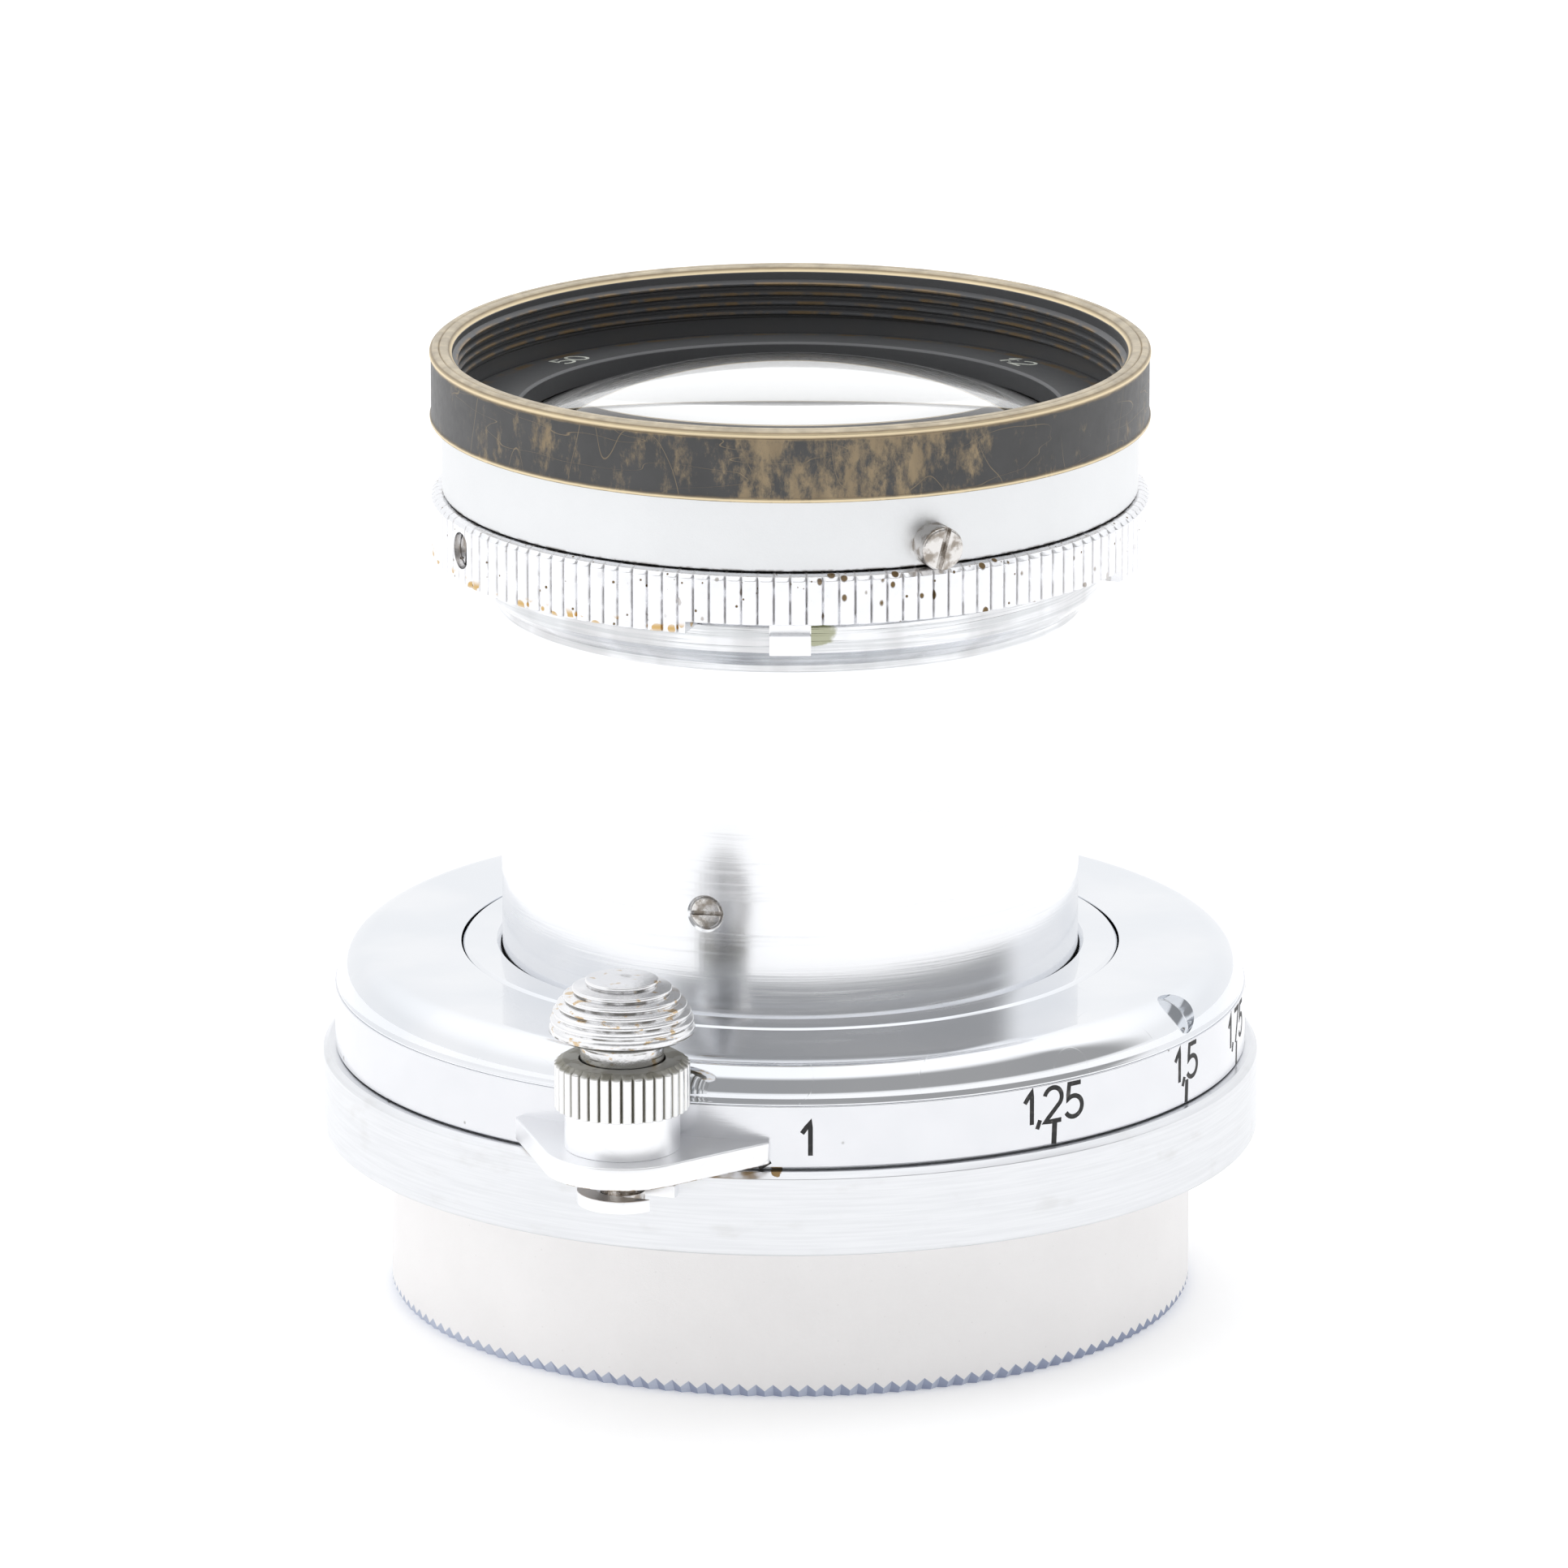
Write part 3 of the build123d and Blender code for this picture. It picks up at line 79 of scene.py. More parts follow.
def middle(node):
    """Point of the XY plane under the middle of a node."""
    low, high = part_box(node)
    return Vector(((low.x + high.x) / 2, (low.y + high.y) / 2, 0)) / MM


# ---------------------------------------------------------------- sizes read from the frame
CAP_R, CAP_FOOT, CAP_TOP = span("rear_cap")
FLANGE_R, FLANGE_FOOT, FLANGE_TOP = span("flange_ring")
MOUNT_R, MOUNT_FOOT, MOUNT_TOP = span("mount_barrel")
SCALE_R, SCALE_FOOT, SCALE_TOP = span("scale_ring")
COVER_R, COVER_FOOT, COVER_TOP = span("shoulder_cover")
COLLAR_RING_R, COLLAR_RING_FOOT, COLLAR_RING_TOP = span("collar_ring")
TUBE_R, TUBE_FOOT, TUBE_TOP = span("tube")
HEAD_R, HEAD_FOOT, HEAD_TOP = span("head_barrel")
RING_R, RING_FOOT, RING_TOP = span("aperture_ring")
BAND_R, BAND_FOOT, BAND_TOP = span("smooth_band")
FRONT_R, FRONT_FOOT, FRONT_TOP = span("front_ring")
NAME_R, NAME_FOOT, NAME_TOP = span("name_ring")
LEVER_FOOT, LEVER_TOP = heights("focus_lever")
COLLAR_FOOT, COLLAR_TOP = heights("knob_collar")
BUTTON_FOOT, BUTTON_TOP = heights("lock_button")
KNOB = middle("knob_collar")
KNOB_ORBIT = KNOB.length
KNOB_BEARING = degrees(atan2(KNOB.x, -KNOB.y))

# ---------------------------------------------------------------- details
EDGE = 0.06
CAP_BORE_R = 19.57
CAP_FLOOR = 0.7
CAP_TEETH = 150
CAP_TOOTH = 0.45
TOOTH_RISE = 0.34
THREAD_R = 19.5
THREAD_PITCH = 0.977
THREAD_ROOT_R = THREAD_R - 0.55
WEB_Z = 10.0
NECK_R = 19.1
SCALE_BORE_R = 20.9
SKIRT_BORE_R = 21.3
SKIRT_R = 22.5
RUN_GAP = 0.07
HELICOID_R = 17.3
SEAT_Z = FLANGE_TOP + RUN_GAP
COVER_BORE_R = 16.58
COVER_SPIGOT_R = 20.25
COVER_ROUND = 1.75
COVER_SCREW_BEARING = 60.0
COVER_SCREW_R = 1.15
BORE_R = TUBE_R + 0.07
TUBE_BORE_R = 13.7
SET_SCREW_BEARING = -16.8
SET_SCREW_Z = 23.1
LIP_R = 14.75
HEAD_NECK_R = 15.2
RING_BORE_R = 15.27
HEAD_FLANGE_Z = 36.9
HEAD_FLANGE_TOP = 38.2
FLUTES = 140
FLUTE_DEPTH = 0.26
CUTAWAY = (-16.6, 66.0)
CUTAWAY_TOP = 38.86
GRUB_BEARING = -66.0
GRUB_Z = 39.9
INDEX_BEARING = 23.6
INDEX_Z = 42.5
FRONT_THREAD_R = 16.85
FRONT_PITCH = 0.5
FRONT_RELIEF_R = 16.95
NAME_BORE_R = 13.6
LEVER_END_R = 3.9
LEVER_HALF_SPAN = 16.4
LEVER_BASE_R = 23.4
LEVER_ROOT_R = 21.9
CATCH_R = 2.25
CATCH_SLOT_R = 1.25
SLEEVE_R = 2.83
COLLAR_R = 3.33
COLLAR_BORE_R = 2.5
COLLAR_RIDGES = 36
BUTTON_R = 3.57
BUTTON_HEAD_Z = 19.85
BUTTON_RIDGES = 7
BUTTON_RISE = (BUTTON_TOP - BUTTON_HEAD_Z - 0.3) / BUTTON_RIDGES

# ---------------------------------------------------------------- strength of the studio's light
TENT_WALL = 1.1
TENT_TOP = 1.3
OPENING = 0.42


# ================================================================ mesh tools

def bearing_point(radius, bearing, z=0.0):
    """Point at a bearing round the lens axis."""
    angle = radians(bearing)
    return Vector((radius * sin(angle), -radius * cos(angle), z))


def softened(outline, soft, steps=4):
    """The same closed outline with its corners rounded; a corner's third number is its own radius."""
    points = []
    for index, corner in enumerate(outline):
        here = Vector(corner[:2])
        before = Vector(outline[index - 1][:2]) - here
        after = Vector(outline[(index + 1) % len(outline)][:2]) - here
        reach = min(corner[2] if len(corner) > 2 else soft, 0.45 * before.length, 0.45 * after.length)
        if here.x == 0 or reach == 0:
            points.append(here)
            continue
        start = here + before.normalized() * reach
        end = here + after.normalized() * reach
        for step in range(steps + 1):
            t = step / steps
            points.append((1 - t) ** 2 * start + 2 * t * (1 - t) * here + t * t * end)
    return points


def mesh_object(name, vertices, faces):
    """Object of a mesh given in millimetres, welded, with its normals outward."""
    mesh = bpy.data.meshes.new(name)
    mesh.from_pydata([Vector(vertex) * MM for vertex in vertices], [], faces)
    work = bmesh.new()
    work.from_mesh(mesh)
    bmesh.ops.remove_doubles(work, verts=work.verts, dist=1e-8)
    bmesh.ops.recalc_face_normals(work, faces=work.faces)
    work.to_mesh(mesh)
    work.free()
    piece = bpy.data.objects.new(name, mesh)
    bpy.context.scene.collection.objects.link(piece)
    return piece


def skinned(name, columns, ring=True):
    """Mesh skinned over columns of points, as a whole ring or with two capped ends."""
    rows = len(columns[0])
    faces = []
    for column in range(len(columns) if ring else len(columns) - 1):
        following = (column + 1) % len(columns)
        for row in range(rows):
            above = (row + 1) % rows
            faces.append((column * rows + row, following * rows + row,
                          following * rows + above, column * rows + above))
    if not ring:
        faces += [tuple(range(rows)), tuple(range((len(columns) - 1) * rows, len(columns) * rows))]
    return mesh_object(name, [point for column in columns for point in column], faces)


def turned(name, outline, soft=EDGE, centre=AXIS, bearings=None, shape=None):
    """Closed outline of (radius, height) turned round an upright axis; shape may move points by bearing."""
    section = softened(outline, soft)
    bearings = bearings or [360 * index / SEGMENTS for index in range(SEGMENTS)]
    columns = []
    for bearing in bearings:
        placed = [shape(bearing, r, z) if shape else (r, z) for r, z in section]
        columns.append([centre + bearing_point(r, bearing, z) for r, z in placed])
    return skinned(name, columns)


def thread_turns(name, root_r, crest_r, low, turns, pitch):
    """Helical ridge that runs out at both ends."""
    columns = []
    steps = int(turns * 120)
    for step in range(steps + 1):
        run_out = min(1, step / 20, (steps - step) / 20)
        z = low + pitch * step / 120
        crest = root_r + (crest_r - root_r) * max(run_out, 0.02)
        back = root_r - 0.03 * (1 if crest_r > root_r else -1)
        section = [(back, z - 0.42 * pitch), (crest, z - 0.07 * pitch), (crest, z + 0.07 * pitch),
                   (back, z + 0.42 * pitch)]
        columns.append([bearing_point(r, 3.0 * step, height) for r, height in section])
    return skinned(name, columns, ring=False)


def prism(name, plan, low, high, bevel=EDGE):
    """Upright plate on a plan outline, with its hard edges bevelled."""
    count = len(plan)
    vertices = [(x, y, z) for z in (low, high) for x, y in plan]
    sides = [(k, (k + 1) % count, count + (k + 1) % count, count + k) for k in range(count)]
    piece = mesh_object(name, vertices, [tuple(range(count)), tuple(range(count, 2 * count)), *sides])
    work = bmesh.new()
    work.from_mesh(piece.data)
    hard = [edge for edge in work.edges if edge.calc_face_angle(0) > radians(30)]
    bmesh.ops.bevel(work, geom=hard, offset=bevel * MM, segments=3, profile=0.5, affect="EDGES",
                    clamp_overlap=True)
    work.to_mesh(piece.data)
    work.free()
    return piece


def block(name, width, depth, low, high, bevel=EDGE):
    """Upright block round the Z axis."""
    w, d = width / 2, depth / 2
    return prism(name, [(-w, -d), (w, -d), (w, d), (-w, d)], low, high, bevel)


def moved(piece, matrix):
    """The piece with its mesh moved by a matrix in millimetres."""
    scale = Matrix.Scale(MM, 4)
    piece.data.transform(scale @ matrix @ scale.inverted())
    return piece


def radial(bearing, radius, z, roll=0.0):
    """Matrix whose +Z points away from the lens axis at a bearing."""
    out = bearing_point(1, bearing)
    up = Vector((0, 0, 1))
    turn = Matrix((up, out.cross(up), out)).transposed().to_4x4()
    return Matrix.Translation(bearing_point(radius, bearing, z)) @ turn @ Matrix.Rotation(radians(roll), 4, "Z")


def joined(*pieces):
    """One object from several; the first keeps its name."""
    work = bmesh.new()
    for piece in pieces:
        work.from_mesh(piece.data)
    work.to_mesh(pieces[0].data)
    work.free()
    for piece in pieces[1:]:
        bpy.data.objects.remove(piece)
    return pieces[0]


def cut(piece, *tools):
    """Takes the tools' shapes out of a piece; the new faces keep the tools' materials."""
    for tool in tools:
        modifier = piece.modifiers.new("cut", "BOOLEAN")
        modifier.object = tool
        modifier.solver = "EXACT"
    bpy.context.view_layer.update()
    ready = piece.evaluated_get(bpy.context.evaluated_depsgraph_get())
    mesh = bpy.data.meshes.new_from_object(ready)
    piece.modifiers.clear()
    piece.data = mesh
    for tool in tools:
        bpy.data.objects.remove(tool)
    return piece


def painted(piece, material):
    """The piece with one material all over."""
    piece.data.materials.clear()
    piece.data.materials.append(material)
    return piece


def fitted(piece, body, slot, *nodes, sharp=32):
    """Shades a finished piece, seats it on its body and hides the CAD nodes it stands for."""
    piece.data.shade_smooth()
    piece.data.set_sharp_from_angle(angle=radians(sharp))
    weighted = piece.modifiers.new("weighted", "WEIGHTED_NORMAL")
    weighted.keep_sharp = True
    weighted.weight = 100
    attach(piece, body)
    if nodes:
        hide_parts(*nodes)
    return piece


def turned_piece(name, outline, look, body, slot, node, **turning):
    """Turned, painted and fitted in one go, for a piece with nothing cut out of it."""
    return fitted(painted(turned(name, outline, **turning), look), body, slot, node)


# ================================================================ material tools

class Wire:
    """An output socket that takes part in plain arithmetic."""

    def __init__(self, look, socket):
        self.look = look
        self.socket = socket

    def __add__(self, other):
        return self.look.math("ADD", self, other)

    def __sub__(self, other):
        return self.look.math("SUBTRACT", self, other)

    def __rsub__(self, other):
        return self.look.math("SUBTRACT", other, self)

    def __mul__(self, other):
        return self.look.math("MULTIPLY", self, other)

    def __abs__(self):
        return self.look.math("ABSOLUTE", self)

    __radd__ = __add__
    __rmul__ = __mul__


class Graph:
    """A node tree and the arithmetic of its wires."""

    def __init__(self, tree, coordinates):
        self.tree = tree
        self.place = coordinates(self)
        parts = self.add("SeparateXYZ", Vector=self.place)
        self.x, self.y, self.z = (Wire(self, parts.outputs[axis]) for axis in "XYZ")
        self.r = self.math("SQRT", self.x * self.x + self.y * self.y)

    def add(self, kind, **inputs):
        node = self.tree.nodes.new("ShaderNode" + kind)
        for name, value in inputs.items():
            self.feed(node.inputs[name.replace("_", " ")], value)
        return node

    def feed(self, socket, value):
        if isinstance(value, Wire):
            value = value.socket
        if isinstance(value, bpy.types.NodeSocket):
            self.tree.links.new(value, socket)
        else:
            socket.default_value = value

    def scaled(self, vector, factors):
        node = self.tree.nodes.new("ShaderNodeVectorMath")
        node.operation = "MULTIPLY"
        self.feed(node.inputs[0], vector)
        self.feed(node.inputs[1], factors)
        return node.outputs["Vector"]

    def math(self, operation, *values):
        node = self.tree.nodes.new("ShaderNodeMath")
        node.operation = operation
        for socket, value in zip(node.inputs, values):
            self.feed(socket, value)
        return Wire(self, node.outputs["Value"])

    def ramp(self, value, low, high):
        """0 below low and 1 above high, smooth between; low above high turns it round."""
        node = self.add("MapRange")
        node.interpolation_type = "SMOOTHSTEP"
        turned_round = low > high
        for socket, number in zip(node.inputs[1:3], (high, low) if turned_round else (low, high)):
            self.feed(socket, number)
        if turned_round:
            self.feed(node.inputs[3], 1.0)
            self.feed(node.inputs[4], 0.0)
        self.feed(node.inputs[0], value)
        return Wire(self, node.outputs["Result"])


class Look(Graph):
    """A material whose pattern is wired up in millimetres of its own piece."""

    def __init__(self, name, **constants):
        self.material = bpy.data.materials.new(name)
        self.material.use_nodes = True
        tree = self.material.node_tree
        self.shader = tree.nodes["Principled BSDF"]
        super().__init__(tree, lambda graph: graph.scaled(graph.add("TexCoord").outputs["Object"],
                                                          (1 / MM,) * 3))
        for socket, value in constants.items():
            self.set(socket.replace("_", " "), value)
        self.bearing = self.math("ARCTAN2", self.x, self.y * -1) * degrees(1)

    def set(self, socket, value):
        """Feeds one of the shader's sockets; a colour may leave its alpha out."""
        if isinstance(value, tuple) and len(value) == 3:
            value = (*value, 1.0)
        self.feed(self.shader.inputs[socket], value)

    def finished(self, colour, rough, height=None, depth=0.0):
        """The material with its colour, its roughness and its relief in millimetres."""
        self.set("Base Color", colour)
        self.set("Roughness", rough)
        if height:
            node = self.add("Bump", Height=height, Distance=depth * MM)
            self.set("Normal", node.outputs["Normal"])
        return self.material

    def near(self, value, centre, width):
        """1 at a value and 0 beyond a width either side."""
        return self.ramp(abs(value - centre), width, 0.0)

    def noise(self, scale, stretch=(1, 1, 1), detail=3.0, rough=0.5):
        """Cloudy pattern with this many lumps per millimetre."""
        node = self.add("TexNoise", Scale=scale, Detail=detail, Roughness=rough,
                        Vector=self.scaled(self.place, stretch))
        return Wire(self, node.outputs["Fac"])

    def specks(self, scale, size, share, stretch=(1, 1, 1)):
        """Scattered spots; share is how many of the cells hold one."""
        node = self.add("TexVoronoi", Scale=scale, Vector=self.scaled(self.place, stretch))
        lot = self.add("SeparateXYZ", Vector=node.outputs["Color"])
        chosen = self.math("LESS_THAN", Wire(self, lot.outputs["X"]), share)
        girth = Wire(self, lot.outputs["Y"]) * size + 0.4 * size
        spot = self.ramp(Wire(self, node.outputs["Distance"]) - girth, 0.05, -0.05)
        return spot * chosen

    def hairlines(self, scale, stretch=(1, 1, 1), width=0.004):
        """Thin wandering scratches."""
        return self.ramp(abs(self.noise(scale, stretch, detail=1.0) - 0.5), width, 0.0)

    def blend(self, factor, low, high):
        """Colour that runs from low to high with the factor."""
        node = self.tree.nodes.new("ShaderNodeMix")
        node.data_type = "RGBA"
        self.feed(node.inputs["Factor"], factor)
        for name, colour in (("A", low), ("B", high)):
            socket = next(s for s in node.inputs if s.name == name and s.type == "RGBA")
            self.feed(socket, (*colour, 1.0) if isinstance(colour, tuple) else colour)
        return Wire(self, next(s for s in node.outputs if s.type == "RGBA"))


BRASS = (0.60, 0.40, 0.16)
DULL_BRASS = (0.34, 0.23, 0.11)
DIRT = (0.10, 0.075, 0.045)
VERDIGRIS = (0.30, 0.31, 0.17)
CHROME = (0.74, 0.76, 0.79)
PALE_CHROME = (0.80, 0.81, 0.83)
INK = (0.012, 0.012, 0.013)


# ================================================================ materials

def polished_chrome():
    """Bright plated brass with a few hairlines and smudges."""
    look = Look("polished_chrome", Metallic=1.0)
    smudge = look.noise(0.11, detail=4.0)
    lines = look.hairlines(0.14, (1, 1, 0.5), 0.002)
    return look.finished(
        look.blend(look.ramp(smudge, 0.35, 0.7), CHROME, PALE_CHROME),
        smudge * 0.06 + 0.04 + lines * 0.12,
        lines * 0.5 + look.noise(6.0) * 0.06, 0.003)


def head_chrome():
    """Turned and plated lip and flange of the head, with greenish dirt beside the stop."""
    look = Look("head_chrome", Metallic=1.0)
    lines = look.ramp(look.noise(7.0, (0.02, 0.02, 1.0), detail=2.0), 0.42, 0.62)
    patches = look.noise(0.30, (1, 1, 0.3), detail=3.0)
    beside = look.near(look.bearing, 4.5, 8.0) * look.ramp(look.z, 37.0, 37.5)
    dirt = look.ramp(beside + look.noise(1.5, detail=5.0), 1.05, 1.3)
    shade = look.blend(look.ramp(patches, 0.35, 0.65), (0.62, 0.62, 0.63), (0.84, 0.85, 0.87))
    shade = look.blend(lines * 0.5, shade, (0.52, 0.54, 0.55))
    return look.finished(
        look.blend(dirt * 0.8, shade, VERDIGRIS),
        lines * 0.12 + 0.14,
        lines, 0.006)


def tube_chrome():
    """Drawn and polished tube: faint turning marks, hairlines and one small pit."""
    look = Look("tube_chrome", Metallic=1.0)
    turning = look.noise(9.0, (0.02, 0.02, 1.0), detail=2.0)
    smudge = look.noise(0.09, (1, 1, 0.6), detail=4.0)
    lines = look.ramp(look.noise(3.5, (0.03, 0.03, 1.0), detail=3.0), 0.5, 0.75)
    pit = look.specks(0.28, 0.05, 0.05)
    shade = look.blend(look.ramp(smudge, 0.3, 0.7), (0.83, 0.84, 0.86), (0.88, 0.885, 0.90))
    return look.finished(
        look.blend(pit, shade, DIRT),
        smudge * 0.08 + 0.15 + lines * 0.1 + pit * 0.5,
        turning * 0.5 + lines * 0.5 - pit, 0.003)


def brushed_chrome():
    """Plating brushed round the ring, with a chip through to brass on its top edge."""
    look = Look("brushed_chrome", Metallic=1.0, Anisotropic=0.5)
    coarse = look.noise(7.0, (0.03, 0.03, 1.0), detail=3.0)
    fine = look.noise(26.0, (0.035, 0.035, 1.0), detail=2.0)
    chip_noise = look.noise(2.6, detail=5.0)
    chip = look.near(look.bearing, -1.6, 1.5) * look.near(look.z, FLANGE_TOP, 0.42)
    chip = look.ramp(chip + chip_noise, 1.05, 1.16)
    shade = look.blend(look.ramp(coarse, 0.3, 0.7), (0.735, 0.745, 0.765), (0.785, 0.795, 0.815))
    grime = look.ramp(look.noise(0.35, (1, 1, 2.2), detail=5.0), 0.58, 0.75) * 0.2
    shade = look.blend(grime, shade, (0.50, 0.49, 0.46))
    return look.finished(
        look.blend(chip, shade, DULL_BRASS),
        fine * 0.16 + 0.24 + chip * 0.2,
        coarse * 0.2 + fine * 0.4 - chip, 0.004)


def scale_chrome():
    """Fine satin plating of the distance scale."""
    look = Look("scale_chrome", Metallic=1.0)
    fine = look.noise(20.0, (0.04, 0.04, 1.0), detail=2.0)
    cloud = look.noise(0.5, detail=3.0)
    spots = look.specks(0.8, 0.06, 0.12)
    return look.finished(
        look.blend(spots, look.blend(cloud, (0.72, 0.73, 0.755), (0.79, 0.795, 0.82)), DIRT),
        fine * 0.12 + 0.17,
        fine, 0.004)


def satin_chrome():
    """Matt bead-blasted plating with a little dirt in its pores."""
    look = Look("satin_chrome", Metallic=1.0)
    grain = look.noise(9.0, detail=3.0)
    pores = look.specks(1.1, 0.05, 0.10)
    cloud = look.noise(0.3, detail=4.0)
    foot = look.near(look.z, BAND_FOOT, 0.16) * look.ramp(look.noise(1.6), 0.4, 0.6)
    halo = look.near(look.bearing, INDEX_BEARING, 6.5) * look.near(look.z, INDEX_Z, 2.4)
    stain = look.ramp(halo + look.noise(1.3, detail=5.0), 0.95, 1.35) * 0.7
    shade = look.blend(cloud, (0.74, 0.75, 0.76), (0.79, 0.80, 0.81))
    shade = look.blend(stain, shade, (0.36, 0.35, 0.28))
    return look.finished(
        look.blend(pores + foot * 0.8, shade, DIRT),
        grain * 0.14 + 0.33,
        grain - pores, 0.006)


def satin_aluminium():
    """Finely blasted bare aluminium of the rear cap, with painted reflection and shade on its milled teeth."""
    look = Look("satin_aluminium", Metallic=0.55)
    grain = look.noise(7.0, detail=4.0, rough=0.7)
    speck = look.specks(3.0, 0.10, 0.2)
    cloud = look.noise(0.25, detail=3.0)
    shade = look.blend(cloud, (0.86, 0.845, 0.84), (0.92, 0.905, 0.90))
    shade = look.blend(speck * 0.2, shade, (0.55, 0.53, 0.52))
    # Painted light: the milled teeth get a bluish painted reflection, one face of each tooth painted lighter
    # and the other darker, as light would fall on them.
    phase = look.math("FRACT", look.bearing * (CAP_TEETH / 360) + CAP_TEETH)
    tooth_top = abs(phase * 2 - 1) * TOOTH_RISE + (CAP_FLOOR - TOOTH_RISE)
    milled = look.ramp(look.z - tooth_top, 0.03, -0.03) * look.ramp(look.r, CAP_R - 0.9, CAP_R - 0.8)
    facet_reflection_and_shade = look.blend(look.ramp(phase, 0.48, 0.52), (0.36, 0.40, 0.52), (0.56, 0.60, 0.70))
    return look.finished(
        look.blend(milled, shade, facet_reflection_and_shade),
        grain * 0.2 + 0.38,
        grain, 0.016)


def fluted_chrome():
    """Plated flutes with dirt in the grooves and pin-head brass spots where the plating has blown."""
    look = Look("fluted_chrome", Metallic=1.0)
    front = look.ramp(abs(look.bearing - 22), 62.0, 8.0)
    phase = look.math("FRACT", look.bearing * (FLUTES / 360) + 0.5)
    groove = look.ramp(abs(phase - 0.5), 0.12, 0.02)
    blown = look.specks(1.6, 0.24, 0.36, (1, 1, 0.75)) * front + look.specks(3.0, 0.16, 0.16)
    foot = look.specks(2.0, 0.5, 0.5) * look.near(look.z, RING_FOOT + 0.2, 0.4)
    soot = groove * look.ramp(look.noise(2.4, (1, 1, 0.6), detail=4.0), 0.35, 0.6)
    left = look.ramp(look.bearing, -5.0, -12.0)
    shade = look.blend(look.noise(1.1, detail=3.0), (0.80, 0.81, 0.83), (0.87, 0.87, 0.89))
    shade = look.blend(soot * 0.3, shade, DIRT)
    shade = look.blend(foot * left, shade, BRASS)
    shade = look.blend(blown, shade, look.blend(look.noise(3.0), DULL_BRASS, DIRT))
    return look.finished(
        shade,
        look.noise(4.0) * 0.16 + 0.16 + blown * 0.35 + soot * 0.3,
        look.noise(2.4, detail=5.0) - blown, 0.016)


def lever_chrome():
    """Handled plating: worn to brass along its low edges."""
    look = Look("lever_chrome", Metallic=1.0)
    low = look.near(look.z, LEVER_FOOT, 0.22)
    worn = look.ramp(low + look.noise(1.8, detail=5.0), 1.4, 1.6)
    cloud = look.noise(0.8, detail=4.0)
    shade = look.blend(cloud, (0.93, 0.94, 0.96), (0.97, 0.97, 0.98))
    return look.finished(
        look.blend(worn, shade, DULL_BRASS),
        cloud * 0.12 + 0.3 + worn * 0.2,
        look.hairlines(0.5) + look.noise(5.0) * 0.2, 0.004)


def knob_chrome():
    """Plating of the button: ridges rubbed to brass in places, black dirt in the grooves."""
    look = Look("knob_chrome", Metallic=1.0)
    phase = look.math("FRACT", (look.z - BUTTON_HEAD_Z - 0.3) * (1 / BUTTON_RISE))
    groove = look.ramp(phase, 0.22, 0.02) + look.ramp(phase, 0.86, 0.99)
    dirt = groove * look.ramp(look.noise(1.0, detail=4.0), 0.42, 0.62)
    rubbed = look.ramp(look.noise(1.3, (1, 1, 2.5), detail=5.0), 0.60, 0.68)
    shade = look.blend(look.noise(0.9), (0.78, 0.78, 0.79), (0.86, 0.86, 0.87))
    shade = look.blend(rubbed * 0.75, shade, BRASS)
    return look.finished(
        look.blend(look.math("MINIMUM", dirt, 0.9), shade, (0.16, 0.15, 0.13)),
        look.noise(3.0) * 0.15 + 0.14 + dirt * 0.3,
        look.noise(4.0, detail=4.0), 0.01)


def collar_chrome():
    """Milled collar: pale ridges, grimy grooves and a dull dirty top."""
    look = Look("collar_chrome", Metallic=1.0)
    dx = look.x - KNOB.x
    dy = look.y - KNOB.y
    radius = look.math("SQRT", dx * dx + dy * dy)
    groove = look.ramp(radius, COLLAR_R - 0.05, COLLAR_R - 0.16)
    top = look.ramp(look.z, COLLAR_TOP - 0.32, COLLAR_TOP - 0.18)
    grime = look.math("MAXIMUM", groove * 0.85, top * look.ramp(look.noise(1.2, detail=5.0), 0.2, 0.6))
    shade = look.blend(look.noise(1.4), (0.80, 0.80, 0.80), (0.88, 0.88, 0.87))
    return look.finished(
        look.blend(grime, shade, (0.27, 0.26, 0.22)),
        grime * 0.3 + 0.2,
        look.noise(5.0), 0.008)


